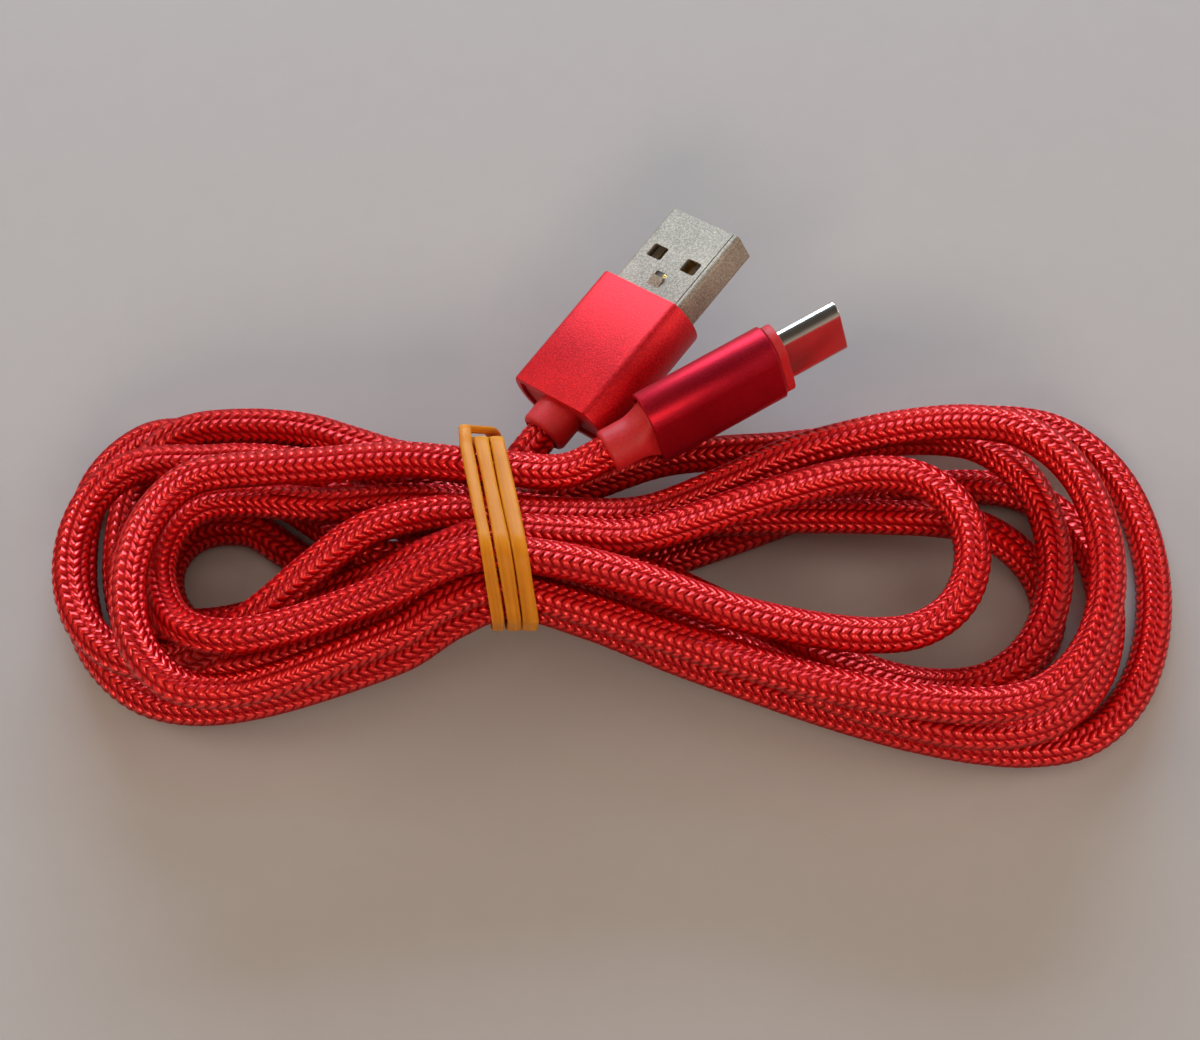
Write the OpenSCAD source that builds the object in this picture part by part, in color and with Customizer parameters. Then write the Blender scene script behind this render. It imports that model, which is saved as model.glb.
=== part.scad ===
/* [Cord] */
// Diameter of the braided cord
cord_d = 4.7; // [4.2:0.1:5]
// Diameter of the jacket under the braid, inside the plugs
jacket_d = 3.6; // [3:0.1:3.8]

/* [Rubber band] */
// Width of the flat rubber ribbon
band_w = 1.8; // [1.6:0.1:2.6]
// Thickness of the ribbon
band_t = 1; // [0.7:0.05:1.2]
// Clear space between neighbouring windings
band_gap = 0.46; // [0.44:0.01:0.8]

/* [USB-A shell] */
// Height of the steel shell
a_shell_h = 4.5; // [4.4:0.05:4.7]
// Sheet thickness of the shell
a_sheet = 0.3; // [0.25:0.01:0.35]
// Length of shell in front of the housing
a_shell_out = 12.6; // [11.8:0.1:13.5]
// Length of shell inside the housing
a_shell_in = 6; // [4:0.1:7]
// Length of each window, along the plug
a_window_l = 2; // [1.6:0.1:2.5]
// Width of each window
a_window_w = 2.5; // [2:0.1:2.8]
// Distance between the middles of the two windows
a_window_apart = 6; // [5.2:0.1:6.4]
// Distance of the windows' middles from the shell's front edge
a_window_back = 6.6; // [5:0.1:7]
// Distance of the spring tab's middle from the shell's front edge
a_tab_back = 9.6; // [9:0.1:10.4]
// Width of the spring tab
a_tab_w = 2; // [1.5:0.1:2.4]

/* [USB-A insert] */
// Thickness of the plastic tongue
a_tongue_h = 1.9; // [1.7:0.05:2]
// Distance of the tongue's front from the shell's front edge
a_tongue_back = 0.7; // [0.3:0.05:1.5]
// Width of a contact blade
a_blade_w = 1; // [0.8:0.05:1.2]
// Thickness of a contact blade
a_blade_t = 0.25; // [0.2:0.01:0.3]

/* [USB-A housing] */
// Length of the aluminium housing
a_housing_l = 18.6; // [17:0.1:22]
// Full width of the housing, over its round sides
a_housing_w = 15.4; // [14.9:0.1:17]
// How far the housing reaches past the steel shell, on each side
a_shoulder = 1.7; // [1.4:0.05:2.4]
// Width of the housing's flat top
a_flat_w = 12.6; // [12:0.1:13]
// Height of the housing
a_housing_h = 7.8; // [7.4:0.1:9]
// Wall thickness of the housing's sleeve
a_wall = 0.9; // [0.6:0.05:1]
// Thickness of the housing's front wall
a_front_wall = 1.4; // [1:0.1:2]

/* [USB-A strain relief] */
// Diameter of the strain relief
a_relief_d = 6.3; // [6:0.1:7]
// Length of strain relief behind the housing
a_relief_l = 4; // [3:0.1:5]

/* [USB-C shell] */
// Width of the steel shell
c_shell_w = 8.34; // [8.25:0.01:8.4]
// Height of the steel shell
c_shell_h = 2.56; // [2.5:0.01:2.6]
// Sheet thickness of the shell
c_sheet = 0.25; // [0.2:0.01:0.3]
// Length of shell in front of the collar
c_shell_out = 8.3; // [6.6:0.1:8.6]
// Length of shell inside the housing
c_shell_in = 5; // [4:0.1:6]

/* [USB-C insert] */
// Distance from the shell's side to the slot that takes the socket's tongue
c_slot_side = 0.82; // [0.77:0.01:0.87]
// Height of that slot
c_slot_h = 0.85; // [0.8:0.01:0.9]
// Depth of that slot
c_slot_l = 6.4; // [5.5:0.1:6.6]
// Distance between neighbouring contacts
c_pitch = 0.5; // [0.45:0.01:0.5]

/* [USB-C housing] */
// Length of the aluminium housing
c_housing_l = 18; // [17:0.1:22]
// Width of the oval housing
c_housing_w = 11.5; // [11.2:0.1:12.5]
// Height of the oval housing
c_housing_h = 6.2; // [6:0.1:7]
// Wall thickness of the housing's sleeve
c_wall = 0.6; // [0.5:0.05:0.7]
// Thickness of the housing's front wall
c_front_wall = 1; // [0.8:0.1:1.5]
// Length of the plastic collar in front of the housing
c_collar_l = 1.2; // [0.8:0.1:2]
// How far the collar's edge lies inside the housing's outline
c_collar_step = 0.4; // [0.2:0.05:0.6]

/* [USB-C strain relief] */
// Diameter of the strain relief
c_relief_d = 5.6; // [5.5:0.1:6]
// Length of strain relief behind the housing
c_relief_l = 6.2; // [5:0.1:8]
// Width of the strain relief where it leaves the housing
c_flare_w = 8.8; // [7:0.1:9.4]

/* [Hidden] */

// Clear space all round a piece that is pushed into another
fit_gap = 0.02;
// Sides of a circle, and of the circles in a hulled shape
$fn = 48;
hull_fn = 32;

// The origin is on the ground, under the middle of the box round the whole object; the hank's
// own sizes are taken from the foot of its waist, which lies here
waist_at = [-14.97, -7.66, 0];

// Where each plug lies: middle of its housing's front face, then its turn from the X axis, how
// far its tip is tilted up, and its roll about its own length
a_at = [19.6, 30.3, 12.3];
a_turn = 51.4;
a_tip_up = 5;
a_roll = -25;
c_at = [34.7, 19.83, 17.5];
c_turn = 29;
c_tip_up = 5;
c_roll = 72;

module at_waist() translate(waist_at) children();
module at_a() at_waist() translate(a_at) rotate([a_roll, -a_tip_up, a_turn]) children();
module at_c() at_waist() translate(c_at) rotate([c_roll, -c_tip_up, c_turn]) children();
// Direction in which a plug's tip points
function tip_way(turn, up) = [cos(up) * cos(turn), cos(up) * sin(turn), sin(up)];

// ---- Outlines and pieces along a plug; X runs to its tip and Z out of its top

module along(x0, x1) translate([x0, 0, 0]) rotate([90, 0, 90]) linear_extrude(x1 - x0) children();
module rounded(w, h, r) {
    square([w - 2 * r, h], center = true);
    square([w, h - 2 * r], center = true);
    for (sx = [-1, 1], sy = [-1, 1]) translate([sx * (w / 2 - r), sy * (h / 2 - r)]) circle(r);
}
module oval(w, h) {
    square([w - h, h], center = true);
    for (s = [-1, 1]) translate([s * (w - h) / 2, 0]) circle(d = h);
}
module block(x0, x1, y0, y1, z0, z1) translate([x0, y0, z0]) cube([x1 - x0, y1 - y0, z1 - z0]);
module rod(x0, x1, d) along(x0, x1) circle(d = d);
// Wire that leaves the cord's end at p, bends over to q and lies along the plug for length l
module soldered_wire(p, q, l, d) {
    pull = [(q[0] - p[0]) / 2, 0, 0];
    bend = [for (i = [0:wire_rings]) bezier([p, p + pull, q - pull, q], i / wire_rings)];
    route = concat(bend, [q + [l, 0, 0]]);
    skin(rings_along(route, [1, 0, 0], [1, 0, 0], d, wire_sides), wire_sides);
}

// ---- USB-A plug

a_shell_w = a_housing_w - 2 * a_shoulder;
a_corner = 0.6;
a_seam_w = 0.15;
a_seam_in = 0.96;
a_seam_y = a_seam_in - a_shell_w / 2;
a_tab_l = 1.5;
a_tab_rise = 14;
a_slot_l = 0.7;
a_cavity_w = a_housing_w - 2 * a_wall - 0.2;
a_cavity_h = a_housing_h - 2 * a_wall;
a_cavity_r = 2.4;
a_tongue_w = a_shell_w - 2 * a_corner;
a_tongue_bottom = -a_shell_h / 2 + a_sheet;
a_blade_z = a_tongue_bottom + a_tongue_h;
a_blade_y = [-3.5, -1, 1, 3.5];
// How far each blade's tip stays behind the tongue's front: the outer two reach further
a_blade_back = [0.9, 1.9, 1.9, 0.9];
a_block_front = -1;
a_tail_end = -a_shell_in - 2;
a_chamber_w = 10;
a_chamber_h = 4.6;
a_plate_l = 3.1;
a_core_rear = -a_housing_l + a_plate_l;
a_plate_recess = 0.4;
a_ferrule_l = 2.6;
a_ferrule_t = 0.4;
a_jacket_front = a_core_rear + 3;
// Depth to which the braided cord goes into each strain relief
cord_seat = 2.2;
cord_clear = 0.05;
wire_d = 0.8;
wire_clear = 0.05;
wire_rings = 5;
wire_sides = 6;
a_wire_lap = 1.2;

module a_outline() {
    side_r = (pow(a_housing_h / 2, 2) + pow((a_housing_w - a_flat_w) / 2, 2)) / (a_housing_w - a_flat_w);
    intersection() {
        square([a_housing_w, a_housing_h], center = true);
        for (s = [-1, 1]) translate([s * (a_housing_w / 2 - side_r), 0]) circle(side_r, $fn = 96);
    }
}
module a_shell_outline(out) rounded(a_shell_w + 2 * out, a_shell_h + 2 * out, a_corner);

module a_shell() {
    x_window = a_shell_out - a_window_back;
    x_tab = a_shell_out - a_tab_back;
    color("silver") at_a() {
        difference() {
            along(-a_shell_in, a_shell_out) difference() {
                a_shell_outline(0);
                rounded(a_shell_w - 2 * a_sheet, a_shell_h - 2 * a_sheet, a_corner - a_sheet);
            }
            for (s = [-1, 1]) translate([x_window, s * a_window_apart / 2, -a_shell_h])
                linear_extrude(2 * a_shell_h) rounded(a_window_l, a_window_w, a_sheet);
            // Punched opening in front of the spring tab
            block(x_tab, x_tab + a_slot_l, -a_tab_w / 2, a_tab_w / 2, 0, a_shell_h);
            // Seam where the sheet's edges meet
            block(-a_shell_in - 1, a_shell_out + 1, a_seam_y - a_seam_w / 2, a_seam_y + a_seam_w / 2,
                a_shell_h / 2 - a_sheet / 2, a_shell_h);
        }
        // Spring tab, bent up towards the opening
        translate([x_tab - a_tab_l, 0, a_shell_h / 2 - a_sheet]) rotate([0, -a_tab_rise, 0])
            translate([0, -a_tab_w / 2, 0]) cube([a_tab_l, a_tab_w, a_sheet]);
    }
}
module a_tongue() {
    inner_h = a_shell_h - 2 * a_sheet;
    color("black") at_a() difference() {
        union() {
            block(a_block_front, a_shell_out - a_tongue_back, -a_tongue_w / 2, a_tongue_w / 2,
                a_tongue_bottom, a_blade_z);
            block(-a_shell_in, a_block_front, -a_tongue_w / 2, a_tongue_w / 2,
                a_tongue_bottom, a_tongue_bottom + inner_h);
        }
        for (y = a_blade_y) block(-a_shell_in - 1, a_block_front + 1, y - a_blade_w / 2 - fit_gap,
            y + a_blade_w / 2 + fit_gap, a_blade_z, a_blade_z + a_blade_t + fit_gap);
    }
}
module a_contact(i) {
    tip = a_shell_out - a_tongue_back - a_blade_back[i];
    color("gold") at_a() block(a_tail_end, tip, a_blade_y[i] - a_blade_w / 2,
        a_blade_y[i] + a_blade_w / 2, a_blade_z, a_blade_z + a_blade_t);
}
module a_core() {
    color("dimgray") at_a() difference() {
        along(a_core_rear, -a_front_wall)
            rounded(a_cavity_w - 2 * fit_gap, a_cavity_h - 2 * fit_gap, a_cavity_r);
        along(-a_shell_in, 0) a_shell_outline(fit_gap);
        along(a_core_rear - 1, -a_shell_in) oval(a_chamber_w, a_chamber_h);
    }
}
module a_wires() {
    z = a_blade_z + a_blade_t + wire_d / 2;
    color("firebrick") at_a() for (i = [0:3])
        soldered_wire([a_jacket_front, (i - 1.5) * (wire_d + wire_clear), 0],
            [a_tail_end, a_blade_y[i], z], a_wire_lap, wire_d);
}
module ferrule(x0, x1, t) along(x0, x1) difference() {
    circle(d = jacket_d + 2 * fit_gap + 2 * t);
    circle(d = jacket_d + 2 * fit_gap);
}
module a_ferrule() color("silver") at_a()
    ferrule(a_core_rear, a_core_rear + a_ferrule_l, a_ferrule_t);
module a_cord_end() color("darkred") at_a()
    rod(-a_housing_l - a_relief_l + cord_seat, a_jacket_front, jacket_d);
module a_housing() {
    color("crimson") at_a() difference() {
        along(-a_housing_l, 0) a_outline();
        along(-a_housing_l - 1, -a_front_wall) rounded(a_cavity_w, a_cavity_h, a_cavity_r);
        along(-a_front_wall - 1, 1) a_shell_outline(fit_gap);
    }
}
module a_relief() {
    rear = -a_housing_l - a_relief_l;
    color("indianred") at_a() difference() {
        union() {
            along(-a_housing_l + a_plate_recess, a_core_rear)
                rounded(a_cavity_w - 2 * fit_gap, a_cavity_h - 2 * fit_gap, a_cavity_r);
            rod(rear, a_core_rear - 1, a_relief_d - 0.4);
            rod(rear, -a_housing_l, a_relief_d);
        }
        rod(rear - 1, rear + cord_seat, cord_d + 2 * cord_clear);
        rod(rear, a_core_rear + 1, jacket_d + 2 * fit_gap);
    }
}

// ---- USB-C plug

c_contacts = 12;
c_contact_w = 0.25;
c_contact_t = 0.15;
c_tail_l = 1.6;
c_tip_back = 0.6;
c_contact_back = 0.9;
c_slot_w = c_shell_w - 2 * c_slot_side;
c_insert_h = c_shell_h - 2 * c_sheet;
c_insert_w = c_shell_w - 2 * c_sheet;
c_tip = c_collar_l + c_shell_out;
c_cavity_w = c_housing_w - 2 * c_wall;
c_cavity_h = c_housing_h - 2 * c_wall;
c_board_w = 7.4;
c_board_l = 5.4;
c_board_t = c_slot_h;
c_chamber_h = 4.3;
c_plate_l = 3.8;
c_core_rear = -c_housing_l + c_plate_l;
c_plate_recess = 0.3;
c_ferrule_l = 0.8;
c_ferrule_t = 0.3;
c_jacket_front = c_core_rear + 1;
c_latch_t = 0.3;
c_latch_h = 0.5;
c_hook = 0.25;
c_hook_l = 0.8;
c_latch_plate_t = 0.2;
c_latch_plate_l = 1.2;
c_latch_rear = -c_shell_in + 0.4;
c_chip = [2.4, 2.4, 0.7];
c_chip_x = -8;
c_resistor = [0.5, 1, 0.35];
c_resistor_at = [-9.2, 2];
c_wire_d = 0.7;
c_wire_apart = 2.2;
c_wire_lap = 0.6;
c_collar_spigot = 1;

function c_contact_y(i) = (i - (c_contacts - 1) / 2) * c_pitch;

module c_shell() {
    color("silver") at_c() along(-c_shell_in, c_tip) difference() {
        oval(c_shell_w, c_shell_h);
        oval(c_insert_w, c_insert_h);
    }
}
// Latch spring: two arms beside the slot, with hooks that point inwards, joined by a middle plate
module c_latch_form(out) {
    y0 = c_slot_w / 2;
    tip = c_tip - c_contact_back;
    for (s = [-1, 1]) {
        y = s * (y0 + c_latch_t / 2);
        block(c_latch_rear, tip, y - c_latch_t / 2 - out, y + c_latch_t / 2 + out,
            -c_latch_h / 2 - out, c_latch_h / 2 + out);
    }
    half_t = c_latch_plate_t / 2 + out;
    block(c_latch_rear, c_latch_rear + c_latch_plate_l, -y0, y0, -half_t, half_t);
}
module c_latch() {
    tip = c_tip - c_contact_back;
    color("lightgray") at_c() {
        c_latch_form(0);
        for (s = [-1, 1]) translate([tip - c_hook_l / 2, s * c_slot_w / 2, 0])
            translate([-c_hook_l / 2, -c_hook, -c_latch_h / 2])
                cube([c_hook_l, 2 * c_hook, c_latch_h]);
    }
}
module c_insulator() {
    color("black") at_c() difference() {
        along(-c_shell_in, c_tip - c_tip_back) oval(c_insert_w - 2 * fit_gap, c_insert_h - 2 * fit_gap);
        block(c_tip - c_tip_back - c_slot_l, c_tip, -c_slot_w / 2, c_slot_w / 2, -c_slot_h / 2, c_slot_h / 2);
        c_latch_form(fit_gap);
        for (s = [-1, 1]) c_contact_row(s, fit_gap);
    }
}
// Row of contacts over the slot where s is 1 and under it where s is -1, larger all round by out
module c_contact_row(s, out) {
    z = s * (c_slot_h + c_contact_t) / 2;
    half_w = c_contact_w / 2 + out;
    half_t = c_contact_t / 2 + out;
    for (i = [0:c_contacts - 1])
        block(-c_shell_in - c_tail_l - out, c_tip - c_contact_back + out, c_contact_y(i) - half_w,
            c_contact_y(i) + half_w, z - half_t, z + half_t);
}
module c_contacts_upper() color("gold") at_c() c_contact_row(1, 0);
module c_contacts_lower() color("gold") at_c() c_contact_row(-1, 0);
module c_collar() {
    color("palevioletred") at_c() difference() {
        union() {
            along(0, c_collar_l) oval(c_housing_w - 2 * c_collar_step, c_housing_h - 2 * c_collar_step);
            along(-c_front_wall, 0) oval(c_shell_w + 2 * c_collar_spigot - 2 * fit_gap,
                c_shell_h + 2 * c_collar_spigot - 2 * fit_gap);
        }
        along(-c_front_wall - 1, c_collar_l + 1) oval(c_shell_w + 2 * fit_gap, c_shell_h + 2 * fit_gap);
    }
}
module c_housing() {
    color("crimson") at_c() difference() {
        along(-c_housing_l, 0) oval(c_housing_w, c_housing_h);
        along(-c_housing_l - 1, -c_front_wall) oval(c_cavity_w, c_cavity_h);
        along(-c_front_wall - 1, 1) oval(c_shell_w + 2 * c_collar_spigot, c_shell_h + 2 * c_collar_spigot);
    }
}
module c_core() {
    color("dimgray") at_c() difference() {
        along(c_core_rear, -c_front_wall) oval(c_cavity_w - 2 * fit_gap, c_cavity_h - 2 * fit_gap);
        along(-c_shell_in, 0) oval(c_shell_w + 2 * fit_gap, c_shell_h + 2 * fit_gap);
        along(c_core_rear - 1, -c_shell_in) rounded(c_board_w, c_chamber_h, 0.9);
    }
}
module c_board() color("seagreen") at_c()
    block(-c_shell_in - c_board_l, -c_shell_in, -c_board_w / 2, c_board_w / 2, -c_board_t / 2, c_board_t / 2);
module c_chip_body() color("black") at_c() translate([c_chip_x, 0, c_board_t / 2])
    translate([-c_chip[0] / 2, -c_chip[1] / 2, 0]) cube(c_chip);
module c_resistor_body() color("black") at_c() translate([c_resistor_at[0], c_resistor_at[1], c_board_t / 2])
    translate([-c_resistor[0] / 2, -c_resistor[1] / 2, 0]) cube(c_resistor);
module c_wires() {
    z = c_board_t / 2 + c_wire_d / 2;
    board_end = -c_shell_in - c_board_l;
    color("firebrick") at_c() for (i = [-1:1]) for (s = [-1, 1])
        soldered_wire([c_jacket_front, i * (c_wire_d + wire_clear), s * (c_wire_d + wire_clear) / 2],
            [board_end, i * c_wire_apart, s * z], c_wire_lap, c_wire_d);
}
module c_ferrule() color("silver") at_c()
    ferrule(c_core_rear, c_core_rear + c_ferrule_l, c_ferrule_t);
module c_cord_end() color("darkred") at_c()
    rod(-c_housing_l - c_relief_l + cord_seat, c_jacket_front, jacket_d);
module c_relief() {
    rear = -c_housing_l - c_relief_l;
    // Places behind the housing and widths there: the relief draws in to the cord in a hollow curve
    flare = [[0, c_flare_w], [0.7, c_relief_d + (c_flare_w - c_relief_d) * 0.55],
        [1.6, c_relief_d + (c_flare_w - c_relief_d) * 0.2], [2.8, c_relief_d]];
    slice = 0.01;
    color("indianred") at_c() difference() {
        union() {
            along(-c_housing_l + c_plate_recess, c_core_rear)
                oval(c_cavity_w - 2 * fit_gap, c_cavity_h - 2 * fit_gap);
            along(-c_housing_l, -c_housing_l + c_plate_recess + slice) oval(c_flare_w, c_cavity_h - 0.2);
            for (i = [0:len(flare) - 2]) hull() for (f = [flare[i], flare[i + 1]])
                along(-c_housing_l - f[0] - slice, -c_housing_l - f[0])
                    oval(f[1] + 0.001, min(c_relief_d, c_cavity_h - 0.2 + f[0]), $fn = hull_fn);
            rod(rear, -c_housing_l - 2.8, c_relief_d);
        }
        rod(rear - 1, rear + cord_seat, cord_d + 2 * cord_clear);
        rod(rear, c_core_rear + 1, jacket_d + 2 * fit_gap);
    }
}

// ---- Hank: points of its centre line, from the A lead's end to the C lead's; x grows to the right,
// y to the plugs' side and z up, and the strands cross the waist where x is 0

hank_points = [
    [0, 8.3, 9.8], [-12.58, 9.42, 11.26], [-23.68, 13.85, 9.16], [-33.85, 14.76, 8.72],
    [-41.7, 13.64, 7.02], [-46.48, 8.19, 4.07], [-48.02, -0.53, 2.62], [-46.28, -9.28, 2.76],
    [-41.29, -14.77, 3.41], [-33.58, -15.85, 4.63], [-23.33, -13.81, 6.62],
    [-11.46, -10.04, 9.07], [0.89, -5.08, 12.88], [21.49, -11.4, 10.13], [39.69, -20.6, 9.3],
    [55, -25.84, 9.75], [66.7, -24.73, 8.41], [74.09, -17.99, 5.71], [76.68, -7.91, 3.7],
    [74.08, 2.08, 2.97], [66.42, 8.27, 2.38], [54.15, 8.75, 2.08], [37.96, 5.26, 1.88],
    [19.18, -1.69, 2.39], [-2.05, -4.29, 4.14], [-12.6, -3.37, 2.55], [-23.15, -1.94, 1.88],
    [-30.97, 2.99, 1.88], [-37.12, 3.13, 1.88], [-40.8, 0.53, 1.88], [-42.12, -3.7, 1.88],
    [-40.65, -8.11, 1.88], [-36.6, -10.93, 1.88], [-29.88, -11.22, 1.88], [-20.69, -10.13, 1.88],
    [-10.19, -11.26, 3.97], [0.48, -8.35, 6.92], [18.58, -9.32, 3.11], [35.29, -14.65, 2.06],
    [49.62, -18.05, 1.98], [60.6, -17.68, 1.95], [67.46, -13.73, 1.91], [69.69, -7.56, 1.88],
    [67.2, -1.44, 2.77], [60.35, 2.39, 5.33], [49.47, 2.99, 6.9], [35.21, 3.02, 7.15],
    [19.15, 2.39, 7.22], [0.7, 2.99, 9.99], [-10.38, 3.4, 11.45], [-20.69, 2.43, 12.21],
    [-29.5, 3.7, 10.92], [-35.87, 3.29, 11], [-39.9, 0.06, 11.54], [-41.38, -5.64, 12.45],
    [-39.74, -11.82, 14.44], [-35.95, -15.82, 17.12], [-29.79, -16.82, 18.2],
    [-21.5, -14.55, 17.91], [-11.96, -10.96, 18.65], [-1.15, -7.31, 21.03], [14.58, -8.93, 18.85],
    [28.69, -12.93, 16.2], [41.13, -15.31, 15.15], [50.66, -15.01, 14.44], [56.6, -10.93, 13.99],
    [58.72, -4.41, 13.75], [56.91, 1.98, 13.73], [51.31, 5.68, 13.93], [42.35, 5.26, 14.36],
    [30.6, 1.44, 15.1], [16.64, -3.29, 16.09], [0.44, -3.35, 17.87], [-12.49, -7.02, 13.92],
    [-23.56, -9.45, 9.64], [-33.37, -11.78, 8.39], [-40.4, -11.52, 7.92], [-44.62, -8.04, 7.93],
    [-45.84, -2.23, 8.18], [-43.62, 3.69, 7.11], [-39.26, 7.8, 4.41], [-31.78, 9, 3.31],
    [-23.5, 3.62, 4.7], [-13.82, -3.1, 8.33], [-1.2, -1.86, 9.03], [17.89, -4.78, 8.05],
    [35.08, -12.9, 7.2], [49.45, -18.96, 7.55], [60.44, -18.97, 7.72], [67.4, -12.98, 7.89],
    [69.85, -3.24, 8.06], [67.54, 6.62, 7.97], [60.64, 12.78, 7.68], [49.96, 13.43, 7.76],
    [36.13, 11.91, 7.96], [20.14, 10.44, 7.54], [2.31, 5.28, 5.17], [-11.71, 7.99, 6.19],
    [-24.2, 13.06, 3.55], [-35.87, 15.73, 2.6], [-45.2, 15.94, 2.03], [-51.77, 9.29, 2.03],
    [-53.27, -1.6, 2.3], [-50.61, -12.54, 2.85], [-43.81, -19.54, 3.35], [-34.68, -21.24, 3.99],
    [-23.35, -19.1, 5.03], [-10.69, -15.36, 8.17], [2.25, -10.06, 11.69], [22.53, -15.14, 5.41],
    [42.15, -21.93, 4.03], [59.25, -26.01, 3.34], [72.41, -25.16, 2.87], [80.54, -16.86, 2.15],
    [83.2, -3.89, 2.03], [80.26, 8.97, 2.03], [71.91, 17.02, 2.03], [58.73, 17.85, 2.03],
    [41.61, 13.47, 2.03], [22.39, 5.11, 2.03], [0.13, 0.53, 4.33], [-14.22, 3.33, 6.56],
    [-25.9, 8.98, 9.44], [-37.18, 9.23, 10.01], [-45.58, 8.4, 10.24], [-50.93, 3.71, 9.85],
    [-52.8, -3.76, 9.59], [-51.08, -11.35, 9.59], [-45.94, -16.4, 9.91], [-37.79, -17.17, 10.62],
    [-27.53, -11.91, 14.54], [-15.65, -2.3, 15.81], [-1.78, 0.54, 15], [18.31, 1.33, 12.39],
    [36.83, 9.12, 12.71], [52.77, 12.95, 13.09], [64.96, 12.4, 13.33], [72.62, 5.63, 13.36],
    [75.24, -5.25, 13.5], [72.66, -16.2, 13.81], [65.08, -23.22, 14.3], [53.03, -24.22, 14.87],
    [37.36, -20.88, 14.54], [19.68, -15.06, 14.62], [0.23, -9.96, 16.65], [-10.61, -14.51, 14.49],
    [-21.11, -19.22, 14.68], [-30.27, -22.52, 15.25], [-37.69, -22.19, 16.06],
    [-42.5, -17.29, 17.55], [-43.8, -9.23, 18.24], [-41.73, -1.04, 17.56], [-37.06, 4.26, 16.65],
    [-30.09, 5.56, 16.27], [-21.24, 6.27, 16.17], [-11.05, 7.07, 15.92], [0, 5.7, 16.4]
];
// Sides of the hank's tube and of the leads' tubes, and rings of a lead
hank_sides = 6;
lead_sides = 8;
lead_rings = 10;
// Least number of half stretches between two points that count as parts of different strands
neighbours = 5;
// Clear space between the strands and the ribbon round them
band_clear = 0.3;
// How far beside the windings a strand's middle may lie and still carry them
band_beside = 0.2;

function smooth(s) = let (c = max(0, min(1, s))) c * c * (3 - 2 * c);
function unit(v) = v / norm(v);
// Points of route p with the middle of each stretch between them
function halved(p) = [for (i = [0:2 * (len(p) - 1)]) (p[floor(i / 2)] + p[ceil(i / 2)]) / 2];
// Points of route p with the place between each two of them where a smooth curve passes: nine
// sixteenths of the two points less one sixteenth of the two next to them
function curved(p) =
    let (n = len(p) - 1, q = concat([2 * p[0] - p[1]], p, [2 * p[n] - p[n - 1]]))
    concat([for (i = [0:n - 1]) each [p[i], (9 * (p[i] + p[i + 1]) - q[i] - q[i + 3]) / 16]], [p[n]]);
hank_route = curved(hank_points);

// ---- Leads: straight out of the relief for a cord's diameter, then over to the hank's end

// How strongly a lead keeps the direction of its two ends, as lengths
lead_pull = 4.5;
function bezier(p, t) =
    let (s = 1 - t) s * s * s * p[0] + 3 * s * s * t * p[1] + 3 * s * t * t * p[2] + t * t * t * p[3];
function lead_route(at, way, back, end) =
    let (seat = at - (back - cord_seat) * way, free = seat - cord_d * way)
    concat([seat, (seat + free) / 2], [for (i = [0:lead_rings])
        bezier([free, free - lead_pull * way, end + [lead_pull, 0, 0], end], i / lead_rings)]);
lead_a = lead_route(a_at, tip_way(a_turn, a_tip_up), a_housing_l + a_relief_l, hank_route[0]);
hank_end = hank_route[len(hank_route) - 1];
lead_c = lead_route(c_at, tip_way(c_turn, c_tip_up), c_housing_l + c_relief_l, hank_end);

// ---- Swept tube

// Ring of a tube round point p, square to direction t
function ring(p, t, d, sides) =
    let (u = unit(cross(t, [0, 0, 1])), w = cross(u, t))
    [for (k = [0:sides - 1]) p + d / 2 * (cos(360 * k / sides) * u + sin(360 * k / sides) * w)];
// Rings along route p, which starts in direction first and ends in direction final
function rings_along(p, first, final, d, sides) =
    let (n = len(p))
    [for (i = [0:n - 1])
        ring(p[i], i == 0 ? first : i == n - 1 ? final : unit(p[i + 1] - p[i - 1]), d, sides)];
// Closed skin over rings of as many points each, with flat ends
module skin(rings, sides) {
    n = len(rings);
    polyhedron(
        points = [for (r = rings) each r],
        faces = concat(
            [for (k = [1:sides - 2]) [0, k + 1, k]],
            [for (k = [1:sides - 2]) [(n - 1) * sides, (n - 1) * sides + k, (n - 1) * sides + k + 1]],
            [for (i = [0:n - 2]) for (k = [0:sides - 1])
                let (a = i * sides + k, b = i * sides + (k + 1) % sides)
                each [[a, b, a + sides], [b, b + sides, a + sides]]]
        ),
        convexity = 10
    );
}
// Cord along route p, cut flat where it lies on the ground
module cord(p, first, final, sides) {
    rings = rings_along(p, first, final, cord_d, sides);
    skin([for (r = rings) [for (v = r) [v[0], v[1], max(v[2], 0)]]], sides);
}
// Least gap of a tube of diameter d to itself, between points more than skip apart in number
function least_gap(p, d, skip) =
    let (f = halved(p))
    min([for (i = [0:len(f) - 1]) for (j = [i + 1 + skip:1:len(f) - 1])
        let (r = norm(f[i] - f[j])) if (r < 2 * d) r - d]);

module cord_hank() {
    echo(hank_gap = least_gap(hank_route, cord_d, neighbours));
    color("crimson") at_waist() cord(hank_route, [-1, 0, 0], [1, 0, 0], hank_sides);
}
module cord_lead(route, way) color("crimson") at_waist() cord(route, -way, [-1, 0, 0], lead_sides);

// ---- Rubber band: one ribbon wound three times round the waist, closed behind it

band_turns = 3;
band_rings = 60;
// Angles at which the strands under the ribbon are found, and the angle that each turn starts at
band_angles = 72;
band_start = -67;
// Place across the waist and height of the point that the band is wound round
band_middle = [-1.2, 13];
// Lean of the windings: how far they go sideways for each length across the waist
band_lean = -0.19;
// Length on the side wall of the waist in which the ribbon steps over to the next winding, and
// ends of its rise over the other windings, in halves of that length
band_step_l = 9;
band_rise = [0.95, 1.6];
band_step_lift = band_t + band_gap;
band_pitch = band_w + band_gap;

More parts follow.
